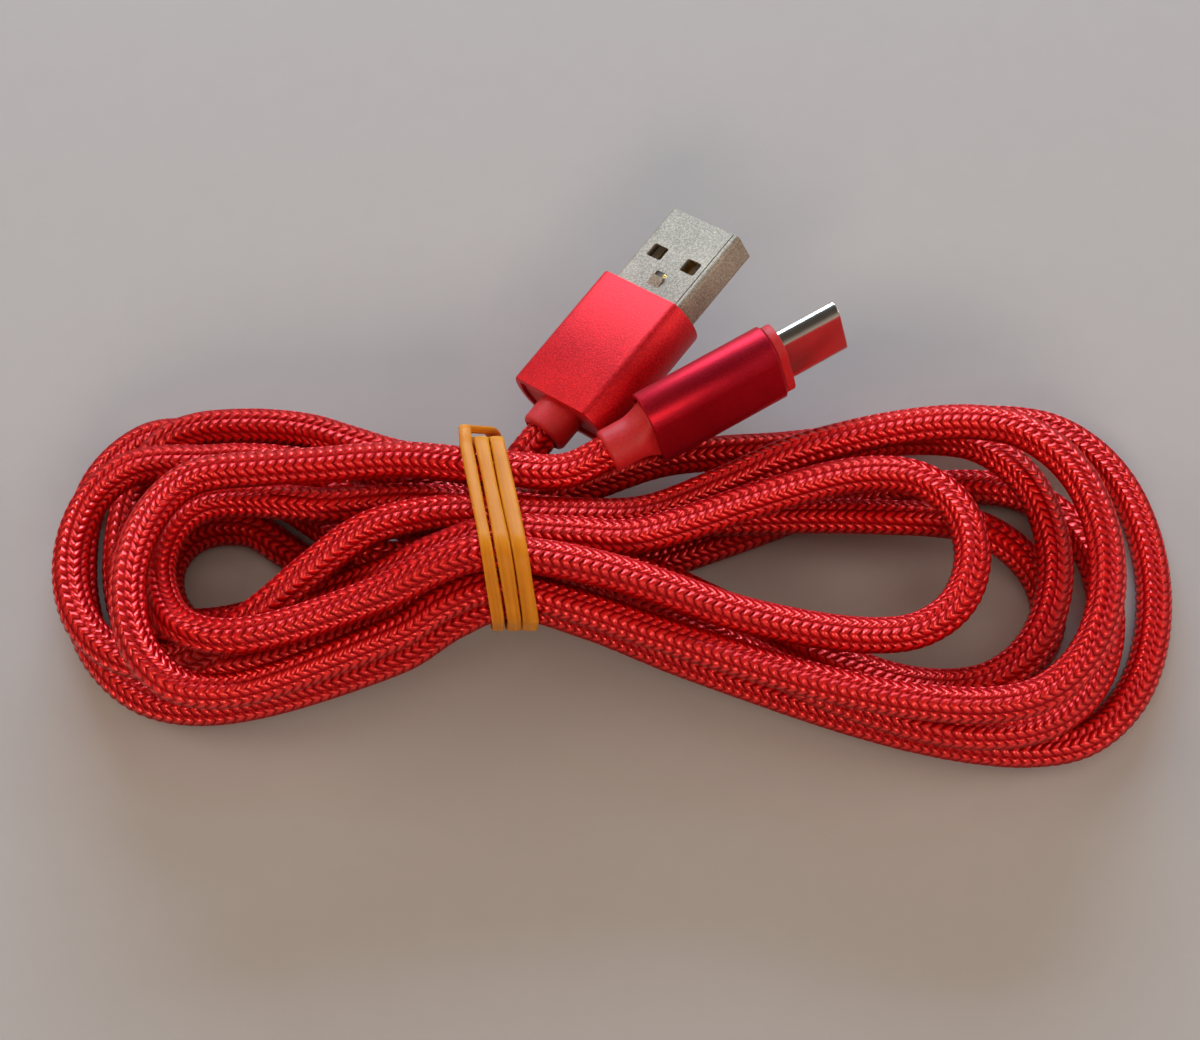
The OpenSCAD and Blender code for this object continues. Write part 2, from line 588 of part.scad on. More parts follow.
// Sideways place of the ribbon in turn k, at length s from the middle of its step, without its lean
function band_x(k, s) =
    let (x0 = (k - 1) * band_pitch, x1 = ((k + 1) % band_turns - 1) * band_pitch)
    x0 + (x1 - x0) * smooth(s / band_step_l + 1 / 2);
// Lift of the ribbon over the other windings on its way back from the last to the first
function band_lift(k, s) =
    let (away = abs(s) / (band_step_l / 2))
    k < band_turns - 1 ? 0
        : band_step_lift * (1 - smooth((away - band_rise[0]) / (band_rise[1] - band_rise[0])));
// Clear space between turns k and j at length s; slant is the cosine of the windings' slope there
function winding_gap(k, j, s, slant) =
    norm([max(0, (abs(band_x(k, s) - band_x(j, s)) - band_w) * slant),
        max(0, abs(band_lift(k, s) - band_lift(j, s)) - band_t)]);
// Furthest of the strands that pass under the band, from its middle towards angle a
function outermost(strands, a) =
    let (n = [cos(a), sin(a)], s = [for (v = strands) v * n], m = max(s))
    [for (i = [0:len(s) - 1]) if (s[i] == m) strands[i]][0];
module rubber_band() {
    p = halved(concat(hank_route, lead_a, lead_c));
    reach = 1.5 * band_pitch + band_beside;
    strands = [for (v = p) if (abs(v[0] - band_lean * v[1]) < reach) [v[1], v[2]] - band_middle];
    angles = [for (i = [0:band_angles]) band_start + 360 * i / band_angles];
    out = cord_d / 2 + band_clear + band_t / 2;
    loop = [for (a = angles) band_middle + outermost(strands, a) + out * [cos(a), sin(a)]];
    steps = [for (i = [0:band_angles]) norm(loop[min(i + 1, band_angles)] - loop[i])];
    run = [for (i = 0, l = 0; i <= band_angles; l = l + steps[i], i = i + 1) l];
    at = [for (i = [0:band_angles]) i];
    step_at = lookup(band_middle[1], [for (i = at) if (angles[i] < 90) [loop[i][1], run[i]]]);
    half_w = [band_w / 2, 0, 0];
    line = [for (k = [0:band_turns - 1]) for (i = [0:band_rings - 1])
        let (
            s = run[band_angles] * i / band_rings,
            a = lookup(s, [for (j = at) [run[j], angles[j]]]),
            y = lookup(s, [for (j = at) [run[j], loop[j][0]]]),
            z = lookup(s, [for (j = at) [run[j], loop[j][1]]]),
            n = [0, cos(a), sin(a)],
            c = [band_x(k, s - step_at) + band_lean * y, y, z] + band_lift(k, s - step_at) * n
        ) [c, n * band_t / 2]];
    rings = [for (v = line)
        [v[0] - half_w - v[1], v[0] + half_w - v[1], v[0] + half_w + v[1], v[0] - half_w + v[1]]];
    slant = min([for (i = [0:2 * band_rings - 1])
        let (v = line[i + 1][0] - line[i][0]) norm([v[1], v[2]]) / norm(v)]);
    echo(band_gap = min([for (k = [0:band_turns - 2]) for (j = [k + 1:band_turns - 1])
        for (s = [-2 * band_step_l:band_step_l / 40:2 * band_step_l]) winding_gap(k, j, s, slant)]));
    color("goldenrod") at_waist() closed_skin(rings, 4);
}
// Closed skin over rings that come round to the first again
module closed_skin(rings, sides) {
    n = len(rings);
    polyhedron(
        points = [for (r = rings) each r],
        faces = [for (i = [0:n - 1]) for (k = [0:sides - 1])
            let (j = (i + 1) % n, a = i * sides + k, b = i * sides + (k + 1) % sides,
                c = j * sides + k, e = j * sides + (k + 1) % sides)
            each [[a, c, b], [b, c, e]]],
        convexity = 10
    );
}

cord_hank();
cord_lead(lead_a, tip_way(a_turn, a_tip_up));  // cord_lead_a
cord_lead(lead_c, tip_way(c_turn, c_tip_up));  // cord_lead_c
rubber_band();
a_shell();
a_tongue();
a_contact(0);  // a_contact_supply
a_contact(1);  // a_contact_data_minus
a_contact(2);  // a_contact_data_plus
a_contact(3);  // a_contact_ground
a_core();
a_wires();
a_ferrule();
a_cord_end();
a_housing();
a_relief();
c_shell();
c_insulator();
c_contacts_upper();
c_contacts_lower();
c_latch();
c_collar();
c_housing();
c_core();
c_board();
c_chip_body();  // c_chip
c_resistor_body();  // c_resistor
c_wires();
c_ferrule();
c_cord_end();
c_relief();
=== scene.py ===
"""Looks of a braided charging cable, wound into a flat hank and held at its waist by a rubber band.

Sizes inside the classes are in millimetres, measured from the foot of the hank's waist, as in the
part's own source. Meshes are put into Blender in metres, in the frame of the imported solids.
"""
import logging
import math
from collections.abc import Callable
from dataclasses import dataclass, field
from enum import Enum
from typing import ClassVar

import bpy
import numpy as np
from mathutils import Matrix


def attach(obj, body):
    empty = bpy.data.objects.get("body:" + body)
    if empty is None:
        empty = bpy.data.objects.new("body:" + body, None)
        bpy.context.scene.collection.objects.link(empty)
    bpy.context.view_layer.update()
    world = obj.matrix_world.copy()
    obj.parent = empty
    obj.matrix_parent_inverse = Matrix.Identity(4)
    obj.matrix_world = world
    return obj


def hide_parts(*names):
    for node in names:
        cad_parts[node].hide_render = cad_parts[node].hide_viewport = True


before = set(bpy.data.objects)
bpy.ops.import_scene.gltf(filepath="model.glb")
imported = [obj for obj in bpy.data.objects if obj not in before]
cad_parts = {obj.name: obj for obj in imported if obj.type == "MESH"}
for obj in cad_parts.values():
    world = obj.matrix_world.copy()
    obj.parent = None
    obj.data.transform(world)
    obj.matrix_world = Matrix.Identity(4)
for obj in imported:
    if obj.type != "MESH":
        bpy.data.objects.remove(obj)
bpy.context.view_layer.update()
LOG = logging.getLogger("cable")
Array = np.ndarray
Colour = tuple[float, float, float]
Place = tuple[float, float, float]
Stations = list[tuple[float, Array]]
MM = 0.001


# ---------------------------------------------------------------- shared arithmetic


def smooth(value: Array) -> Array:
    """Smooth step: three times the square less twice the cube of value, held between 0 and 1."""
    held = np.clip(value, 0.0, 1.0)
    return held * held * (3.0 - 2.0 * held)


def unit(vectors: Array) -> Array:
    """Vectors divided by their lengths, row by row."""
    return vectors / np.linalg.norm(vectors, axis=-1, keepdims=True)


def halved(points: Array) -> Array:
    """Points with the middle of each stretch between them.

    Args:
        points: The points, one row each.

    Returns:
        Those points and the middles, in order.
    """
    out = np.empty((2 * len(points) - 1, 3))
    out[::2] = points
    out[1::2] = (points[:-1] + points[1:]) / 2.0
    return out


def closed(outline: Array) -> Array:
    """Outline with its first point once more at its end."""
    return np.concatenate([outline, outline[:1]])


def run_of(points: Array) -> Array:
    """Length along a line of points up to each of them."""
    return np.concatenate([[0.0], np.cumsum(np.linalg.norm(np.diff(points, axis=0), axis=1))])


def resampled(points: Array, places: Array) -> Array:
    """Points of a line at given lengths along it, each coordinate taken linearly between points."""
    run = run_of(points)
    return np.stack([np.interp(places, run, column) for column in points.T], axis=1)


def evened(outline: Array, count: int) -> Array:
    """As many points as count, spaced evenly along a closed outline from its first point on."""
    line = closed(outline)
    return resampled(line, np.arange(count) / count * run_of(line)[-1])


def threaded(points: Array, first: Array, last: Array, parts: int = 12) -> Array:
    """Smooth curve through points: a cubic on each stretch, whose slope at a point is half the way
    from the point before it to the point after it.

    Args:
        points: The points, one row each.
        first: Direction in which the curve starts.
        last: Direction in which it ends.
        parts: Pieces that each stretch is cut into.

    Returns:
        The points of the curve.
    """
    step = np.diff(points, axis=0)
    slope = np.empty_like(points)
    slope[1:-1] = (step[:-1] + step[1:]) / 2.0
    slope[0] = first * np.linalg.norm(step[0])
    slope[-1] = last * np.linalg.norm(step[-1])
    t = (np.arange(parts) / parts)[None, :, None]
    a, b = points[:-1, None], points[1:, None]
    u, v = slope[:-1, None], slope[1:, None]
    body = ((2 * t**3 - 3 * t**2 + 1) * a + (t**3 - 2 * t**2 + t) * u
            + (3 * t**2 - 2 * t**3) * b + (t**3 - t**2) * v)
    return np.concatenate([body.reshape(-1, 3), points[-1:]])


def turned(roll: float, pitch: float, turn: float) -> Array:
    """Matrix that turns about X, then about Y, then about Z.

    Args:
        roll: Degrees about X.
        pitch: Degrees about Y.
        turn: Degrees about Z.

    Returns:
        The matrix, three by three.
    """
    r, p, t = (math.radians(v) for v in (roll, pitch, turn))
    about_x = np.array([[1, 0, 0], [0, math.cos(r), -math.sin(r)], [0, math.sin(r), math.cos(r)]])
    about_y = np.array([[math.cos(p), 0, math.sin(p)], [0, 1, 0], [-math.sin(p), 0, math.cos(p)]])
    about_z = np.array([[math.cos(t), -math.sin(t), 0], [math.sin(t), math.cos(t), 0], [0, 0, 1]])
    return about_z @ about_y @ about_x


# ---------------------------------------------------------------- meshes


@dataclass
class Patch:
    """A grid surface: points in rows, with the rows or columns closed where they come round."""

    points: Array
    rows_closed: bool = False
    columns_closed: bool = True
    start_capped: bool = False
    end_capped: bool = False

    def faces(self) -> tuple[list[range], Array]:
        """Caps as polygons, and the grid's quads as an array; quads join neighbouring rows.

        Returns:
            The caps and the quads.
        """
        rows, columns = self.points.shape[:2]
        i = np.arange(rows if self.rows_closed else rows - 1)[:, None]
        j = np.arange(columns if self.columns_closed else columns - 1)[None, :]
        k, l = (i + 1) % rows, (j + 1) % columns
        quads = np.stack([i * columns + j, i * columns + l, k * columns + l, k * columns + j], axis=-1)
        caps = []
        if self.start_capped:
            caps.append(range(columns - 1, -1, -1))
        if self.end_capped:
            caps.append(range((rows - 1) * columns, rows * columns))
        return caps, quads.reshape(-1, 4)


class MeshMaker:
    """Collects patches, in millimetres from the waist's foot, and makes one piece of them."""

    def __init__(self, name: str, waist: Array) -> None:
        """Starts an empty piece.

        Args:
            name: The piece's name.
            waist: Place that its points are measured from.
        """
        self.name = name
        self.waist = waist
        self.patches: list[tuple[Patch, Array | None]] = []

    def add(self, patch: Patch, uv: Array | None = None) -> "MeshMaker":
        """Adds a patch and, where it has one, its map.

        Args:
            patch: The surface.
            uv: Map places of the patch's points, with one row or column more where it closes.

        Returns:
            This maker.
        """
        self.patches.append((patch, uv))
        return self

    def make(self, crease: float = 32.0) -> bpy.types.Object:
        """Makes the piece; edges sharper than crease degrees stay crisp.

        Args:
            crease: The angle.

        Returns:
            The object, at the origin, with its place in its mesh.
        """
        points, polygons, maps, offset = [], [], [], 0
        for patch, uv in self.patches:
            caps, quads = patch.faces()
            points.append(patch.points.reshape(-1, 3))
            polygons += [tuple(corner + offset for corner in cap) for cap in caps]
            polygons += (quads + offset).tolist()
            if uv is not None:
                i, j = np.arange(len(uv) - 1)[:, None], np.arange(uv.shape[1] - 1)[None, :]
                corners = np.stack([uv[i, j], uv[i, j + 1], uv[i + 1, j + 1], uv[i + 1, j]], axis=2)
                maps += [np.zeros((sum(len(cap) for cap in caps), 2)), corners.reshape(-1, 2)]
            offset += len(points[-1])
        mesh = bpy.data.meshes.new(self.name)
        place = (np.concatenate(points) + self.waist) * MM
        mesh.from_pydata(place.tolist(), [], polygons)
        if maps:
            layer = mesh.uv_layers.new(name="Wound")
            layer.data.foreach_set("uv", np.concatenate(maps).astype(np.float32).ravel())
        mesh.update()
        mesh.polygons.foreach_set("use_smooth", np.ones(len(mesh.polygons), dtype=bool))
        mesh.set_sharp_from_angle(angle=math.radians(crease))
        piece = bpy.data.objects.new(self.name, mesh)
        bpy.context.scene.collection.objects.link(piece)
        return piece


# ---------------------------------------------------------------- outlines across a plug


def oval_outline(width: float, height: float, less: float = 0.0, count: int = 96) -> Array:
    """Stadium outline, its points spaced evenly: a point lies at a radius from a middle, the angle
    grows along the two half circles only, and the middle moves along the two straights only.

    Args:
        width: Full width.
        height: Full height, which is also the half circles' diameter.
        less: How far the outline is drawn in from these on every side.
        count: Number of points.

    Returns:
        Points across (y, z), counter-clockwise, from the middle of the right side.
    """
    radius, straight = height / 2.0 - less, width - height
    quarter = math.pi * radius / 2.0
    corners = np.cumsum([0.0, quarter, straight, 2 * quarter, straight, quarter])
    run = np.arange(count) / count * corners[-1]
    angle = np.interp(run, corners, np.radians([0.0, 90.0, 90.0, 270.0, 270.0, 360.0]))
    middle = np.interp(run, corners, straight / 2.0 * np.array([1, 1, -1, -1, 1, 1]))
    return np.stack([middle + radius * np.cos(angle), radius * np.sin(angle)], axis=1)


def near_round(diameter: float) -> Array:
    """Oval that is a circle but for a thousandth of a millimetre, with an oval's points."""
    return oval_outline(diameter + 0.001, diameter)


def disc(diameter: float, count: int = 64) -> Array:
    """Circle across a plug, counter-clockwise."""
    angle = math.tau * np.arange(count) / count
    return diameter / 2.0 * np.stack([np.cos(angle), np.sin(angle)], axis=1)


def barrel_outline(width: float, flat: float, height: float, corner: float, count: int = 96) -> Array:
    """Outline with a flat top and bottom and sides bowed to an arc. Each of its evenly spaced
    points is the mean of its neighbours over the length of a corner, which softens the corners.

    Args:
        width: Full width over the bowed sides.
        flat: Width of the flat top.
        height: Full height.
        corner: Length over which a corner is softened.
        count: Number of points.

    Returns:
        Points across (y, z), counter-clockwise, from the middle of the right side.
    """
    side_count, top_count, fine_count = 200, 398, 960
    bow = (width - flat) / 2.0
    radius = ((height / 2.0) ** 2 + bow**2) / (2.0 * bow)
    swing = math.asin(height / 2.0 / radius)
    side = np.linspace(-swing, swing, side_count)
    right = np.stack([width / 2.0 - radius + radius * np.cos(side), radius * np.sin(side)], axis=1)
    along_top = np.linspace(flat / 2, -flat / 2, top_count + 2)[1:-1]
    top = np.stack([along_top, np.full(top_count, height / 2)], axis=1)
    dense = np.roll(np.concatenate([right, top, -right, -top]), -(side_count // 2), axis=0)
    reach = max(1, int(round(corner / (run_of(closed(dense))[-1] / fine_count) / 2)))
    fine = evened(dense, fine_count)
    soft = np.mean([np.roll(fine, shift, axis=0) for shift in range(-reach, reach + 1)], axis=0)
    return evened(soft, count)


def inset(outline: Array, depth: float) -> Array:
    """Outline moved inwards along its own normals.

    Args:
        outline: Points across (y, z), counter-clockwise.
        depth: How far they move.

    Returns:
        The moved points.
    """
    along = np.roll(outline, -1, axis=0) - np.roll(outline, 1, axis=0)
    normal = unit(np.stack([along[:, 1], -along[:, 0]], axis=1))
    return outline - depth * normal


def rounded_end(at: float, depth: float, diameter: float, drop: float,
                outline: Callable[[float], Array]) -> Stations:
    """Rounded edge at the end of a round stem: over five equal steps of an angle up to a right
    one, the place falls by its sine and the diameter by one less its cosine.

    Args:
        at: Place where the rounding starts.
        depth: Length of the rounding along the stem.
        diameter: The stem's diameter.
        drop: How much less the diameter is at the end.
        outline: Gives the outline of a diameter.

    Returns:
        Places and outlines.
    """
    return [(at - depth * math.sin(v), outline(diameter - drop * (1 - math.cos(v))))
            for v in np.radians([18, 36, 54, 72, 90])]


@dataclass(frozen=True)
class PlugPlace:
    """Where a plug lies: the middle of its housing's front face, and how it is turned."""

    at: Place
    turn: float
    tip_up: float
    roll: float

    def way(self) -> Array:
        """Direction in which the plug's tip points."""
        t, u = math.radians(self.turn), math.radians(self.tip_up)
        return np.array([math.cos(u) * math.cos(t), math.cos(u) * math.sin(t), math.sin(u)])

    def put(self, points: Array) -> Array:
        """Points of the plug's own frame, X to its tip and Z out of its top, in the hank's frame."""
        return points @ turned(self.roll, -self.tip_up, self.turn).T + np.array(self.at)

    def loft(self, stations: Stations, joined: bool = False) -> Patch:
        """Surface through outlines that stand across the plug, each at its own place along it.

        Args:
            stations: Place along the plug and outline (y, z), from the tip's end backwards.
            joined: Whether the last outline joins the first, as in a sleeve with a wall.

        Returns:
            The patch, with its ends capped unless it is joined.
        """
        rows = np.stack([np.concatenate([np.full((len(o), 1), x), o], axis=1) for x, o in stations])
        rows = self.put(rows.reshape(-1, 3)).reshape(rows.shape)
        # Outlines run counter-clockwise seen from the tip, so rows that go back face inwards
        return Patch(rows[:, ::-1], rows_closed=joined, start_capped=not joined, end_capped=not joined)


# ---------------------------------------------------------------- materials


class Graph:
    """A few calls that place and link the nodes of one material or node group."""

    def __init__(self, tree: bpy.types.NodeTree) -> None:
        """Works on tree, and counts its nodes so that they are laid out in a row."""
        self.tree = tree
        self.count = 0

    def node(self, kind: str, **inputs: object) -> bpy.types.Node:
        """Places a node. A keyword is a property of it or, in capitals, an input: by its name with
        _ for a space, or by I and its number.

        Args:
            kind: The node's type without its ShaderNode prefix.
            **inputs: Values or sockets.

        Returns:
            The node.
        """
        made = self.tree.nodes.new("ShaderNode" + kind)
        made.location = (self.count * 180, 0)
        self.count += 1
        for name, value in inputs.items():
            if hasattr(made, name) and name[0].islower():
                setattr(made, name, value)
            elif name[0] == "I" and name[1:].isdigit():
                self.feed(made.inputs[int(name[1:])], value)
            else:
                self.feed(made.inputs[name.replace("_", " ")], value)
        return made

    def feed(self, socket: bpy.types.NodeSocket, value: object) -> None:
        """Links a value to an input if it is a socket, and otherwise sets it.

        Args:
            socket: The input.
            value: A socket or a constant.
        """
        if isinstance(value, bpy.types.NodeSocket):
            self.tree.links.new(value, socket)
        else:
            socket.default_value = value

    def math(self, operation: str, first: object, second: object = 0.0, third: object = 0.0,
             clamp: bool = False) -> bpy.types.NodeSocket:
        """Result of an arithmetic node on up to three numbers or sockets."""
        return self.node("Math", operation=operation, use_clamp=clamp, I0=first, I1=second,
                         I2=third).outputs[0]

    def mix(self, share: object, first: Colour, second: Colour) -> bpy.types.NodeSocket:
        """Colour between first, at share 0, and second, at share 1."""
        return self.node("Mix", data_type="RGBA", I0=share, I6=(*first, 1.0), I7=(*second, 1.0)).outputs[2]

    def spread(self, value: object, low: float, high: float, to_low: float = 0.0,
               to_high: float = 1.0) -> bpy.types.NodeSocket:
        """Value carried from the range low to high over to another range, and held inside it."""
        return self.node("MapRange", Value=value, From_Min=low, From_Max=high, To_Min=to_low,
                         To_Max=to_high).outputs[0]


class Surface(Graph):
    """The graph of one new material, round its main shader."""

    def __init__(self, name: str) -> None:
        """Starts the material.

        Args:
            name: Its name.
        """
        self.material = bpy.data.materials.new(name)
        self.material.use_nodes = True
        super().__init__(self.material.node_tree)
        self.shader = self.tree.nodes["Principled BSDF"]

    def wear(self, **inputs: object) -> None:
        """Feeds inputs of the shader, named with _ for a space, from sockets or constants."""
        for name, value in inputs.items():
            self.feed(self.shader.inputs[name.replace("_", " ")], value)

    def raised(self, height: bpy.types.NodeSocket, distance: float,
               strength: float = 1.0) -> bpy.types.NodeSocket:
        """Normal bumped by a height, whose 1 stands for a distance in metres."""
        return self.node("Bump", Strength=strength, Distance=distance, Height=height).outputs[0]


def shared_group(name: str, sockets_in: dict[str, tuple[str, object]],
                 sockets_out: dict[str, str]) -> tuple[Graph, object, object]:
    """Starts a node group with named inputs and outputs.

    Args:
        name: The group's name.
        sockets_in: For each input, its type and the value it starts with.
        sockets_out: For each output, its type.

    Returns:
        The group's graph, and its input and output nodes.
    """
    tree = bpy.data.node_groups.new(name, "ShaderNodeTree")
    for label, (kind, value) in sockets_in.items():
        socket = tree.interface.new_socket(name=label, in_out="INPUT", socket_type="NodeSocket" + kind)
        if value is not None:
            socket.default_value = value
    for label, kind in sockets_out.items():
        tree.interface.new_socket(name=label, in_out="OUTPUT", socket_type="NodeSocket" + kind)
    return Graph(tree), tree.nodes.new("NodeGroupInput"), tree.nodes.new("NodeGroupOutput")


def grain_group() -> bpy.types.NodeTree:
    """Fine grain: a fast and a slow noise on a position, and their sum as a height.

    Returns:
        The group, with the outputs Speck (fast, sharpened), Cloud (slow) and Height.
    """
    speck_range, cloud_range, cloud_height = (0.38, 0.68), (0.3, 0.7), 0.3
    g, source, sink = shared_group(
        "Fine grain",
        {"Position": ("Vector", None), "Grain": ("Float", 4000.0), "Cloudiness": ("Float", 120.0)},
        {"Speck": "Float", "Cloud": "Float", "Height": "Float"})
    where = source.outputs["Position"]
    fast = g.node("TexNoise", Vector=where, Scale=source.outputs["Grain"], Detail=2.0, Roughness=0.6)
    slow = g.node("TexNoise", Vector=where, Scale=source.outputs["Cloudiness"], Detail=3.0, Roughness=0.55)
    speck = g.spread(fast.outputs["Fac"], *speck_range)
    cloud = g.spread(slow.outputs["Fac"], *cloud_range)
    g.feed(sink.inputs["Speck"], speck)
    g.feed(sink.inputs["Cloud"], cloud)
    g.feed(sink.inputs["Height"], g.math("MULTIPLY_ADD", cloud, cloud_height, speck))
    return g.tree


def weave_group() -> bpy.types.NodeTree:
    """Braid of a cord, on a map whose U goes once round it and whose V counts floats along it.

    Eight columns go round. In each, the yarn's floats lie one after another, slanting one way in
    even columns and the other way in odd ones, half a float further on. A float's height is half
    a wave of a sine across it, times a cosine over the column's width to a power a little under
    one; its filaments are a fast sine across it. A float's number is the fraction of a large
    multiple of a sine, which differs from float to float without a pattern.

    Returns:
        The group, with the outputs Height, Crown (1 on a float's back), Filament and Float (a
        number from 0 to 1 for each float).
    """
    dome_reach, dome_power, filament_height = 0.96, 0.85, 0.014
    column_seed, float_seed, scatter = 17.31, 3.77, 437.5
    g, source, sink = shared_group(
        "Braid weave", {"Map": ("Vector", None), "Columns": ("Float", 8.0), "Filaments": ("Float", 6.0)},
        {"Height": "Float", "Crown": "Float", "Filament": "Float", "Float": "Float"})
    split = g.node("SeparateXYZ", Vector=source.outputs["Map"])
    around = g.math("MULTIPLY_ADD", split.outputs[0], source.outputs["Columns"], 0.5)
    column = g.math("FLOOR", around)
    across = g.math("SUBTRACT", g.math("FRACT", around), 0.5)
    odd = g.math("MODULO", column, 2.0)
    slant = g.math("MULTIPLY_ADD", odd, -2.0, 1.0)
    place = g.math("SUBTRACT", split.outputs[1], g.math("MULTIPLY", across, slant))
    place = g.math("MULTIPLY_ADD", odd, 0.5, place)
    phase = g.math("FRACT", place)
    hump = g.math("SINE", g.math("MULTIPLY", phase, math.pi))
    dome = g.math("COSINE", g.math("MULTIPLY", across, math.pi * dome_reach))
    crown = g.math("MULTIPLY", hump, g.math("POWER", dome, dome_power))
    waves = g.math("MULTIPLY", source.outputs["Filaments"], math.tau)
    strands = g.math("SINE", g.math("MULTIPLY", phase, waves))
    seed = g.math("MULTIPLY_ADD", column, column_seed,
                  g.math("MULTIPLY", g.math("FLOOR", place), float_seed))
    g.feed(sink.inputs["Height"], g.math("MULTIPLY_ADD", strands, filament_height, crown))
    g.feed(sink.inputs["Crown"], crown)
    g.feed(sink.inputs["Filament"], strands)
    g.feed(sink.inputs["Float"], g.math("FRACT", g.math("MULTIPLY", g.math("SINE", seed), scatter)))
    return g.tree


class Pattern(Enum):
    """How a plain finish's grain lies: the scale of its pattern along each axis."""

    EVEN = (1.0, 1.0, 1.0)
    BRUSHED = (1.0, 1.0, 0.15)


@dataclass(frozen=True)
class PlainFinish:
    """A metal or a moulded plastic: a colour with fine grain in it and in its gloss.

    Grain is the number of specks in a metre. Roughness is given for the dark specks and for the
    light ones. Cloud share is how much of the shade the slow noise decides, and depth the height
    in metres that the bump stands for.
    """

    name: str
    colour: Colour
    dark: Colour
    metallic: float
    roughness: tuple[float, float]
    grain: float
    bump: float
    pattern: Pattern = Pattern.EVEN
    coat: float = 0.0
    subsurface: float = 0.0
    cloud_share: float = 0.35
    depth: float = 0.00004

    def build(self, grain: bpy.types.NodeTree) -> bpy.types.Material:
        """Makes the material: grain decides the colour's shade, the roughness and the bump.

        Args:
            grain: The shared group of fine grain.

        Returns:
            The material.
        """
        g = Surface(self.name)
        where = g.node("Mapping", Vector=g.node("TexCoord").outputs["Object"], Scale=self.pattern.value)
        speckle = g.node("Group", node_tree=grain, Position=where.outputs[0], Grain=self.grain)
        shade = g.math("MULTIPLY_ADD", speckle.outputs["Cloud"], self.cloud_share,
                       g.math("MULTIPLY", speckle.outputs["Speck"], 1.0 - self.cloud_share))
        g.wear(Base_Color=g.mix(shade, self.dark, self.colour),
               Roughness=g.spread(shade, 0.0, 1.0, *self.roughness),
               Metallic=self.metallic, Coat_Weight=self.coat, Coat_Roughness=0.2,
               Subsurface_Weight=self.subsurface, Subsurface_Radius=(1.0, 0.25, 0.2),
               Subsurface_Scale=0.0008,
               Normal=g.raised(speckle.outputs["Height"], self.depth, self.bump))
        return g.material


@dataclass(frozen=True)
class BraidFinish:
    """Braided nylon: satin floats with fine filaments, deep grooves between them.

    A float's filaments lie along it, so its gloss is drawn out across them: along U of the map
    called Yarn, which runs at a right angle to the floats of each column. Roughness and metallic
    are given for the grooves and for the floats' backs. The colour goes from the crown red on the
    floats' backs to a darker red in the grooves, which is painted shade. The shares say how much a
    float's own number and the slow noise change the colour's tone, and a filament the roughness.
    """

    name: str = "braided_nylon"
    crown: Colour = (0.86, 0.008, 0.008)
    # darker red for the grooves between the floats: painted shade
    groove_painted_shade: Colour = (0.46, 0.0, 0.003)
    relief: float = 0.00034
    drawn: float = 0.6
    roughness: tuple[float, float] = (0.45, 0.22)
    metallic: tuple[float, float] = (0.85, 0.3)
    gloss: Colour = (1.0, 0.8, 0.76)
    specks: float = 5200.0
    clouds: float = 90.0
    float_share: float = 0.25
    cloud_share: float = 0.15
    darker: float = 0.2
    filament_share: float = 0.03

    def build(self, weave: bpy.types.NodeTree, grain: bpy.types.NodeTree) -> bpy.types.Material:
        """Makes the material from the weave on the piece's own map and fine grain on its place.

        Args:
            weave: The shared group of the braid.
            grain: The shared group of fine grain.

        Returns:
            The material.
        """
        g = Surface(self.name)
        lay = g.node("Group", node_tree=weave, Map=g.node("UVMap", uv_map="Wound").outputs[0])
        speckle = g.node("Group", node_tree=grain, Position=g.node("TexCoord").outputs["Object"],
                         Grain=self.specks, Cloudiness=self.clouds)
        crown = lay.outputs["Crown"]
        # share between groove red and crown red: a float's own number and the slow noise give random tone;
        # the float's height darkens the grooves, which is painted shade
        tone_and_painted_shade = g.math("MULTIPLY_ADD", lay.outputs["Float"], self.float_share, g.spread(crown, 0.15, 0.85))
        tone_and_painted_shade = g.math("MULTIPLY_ADD", speckle.outputs["Cloud"], self.cloud_share,
                      g.math("SUBTRACT", tone_and_painted_shade, self.darker), clamp=True)
        dull = g.spread(crown, 0.15, 0.6, *self.roughness)
        g.wear(Base_Color=g.mix(tone_and_painted_shade, self.groove_painted_shade, self.crown),
               Roughness=g.math("MULTIPLY_ADD", lay.outputs["Filament"], self.filament_share, dull),
               Metallic=g.spread(crown, 0.1, 0.6, *self.metallic),
               Specular_IOR_Level=1.0, Specular_Tint=(*self.gloss, 1.0), Anisotropic=self.drawn,
               Tangent=g.node("Tangent", direction_type="UV_MAP", uv_map="Yarn").outputs[0],
               Normal=g.raised(lay.outputs["Height"], self.relief))
        return g.material


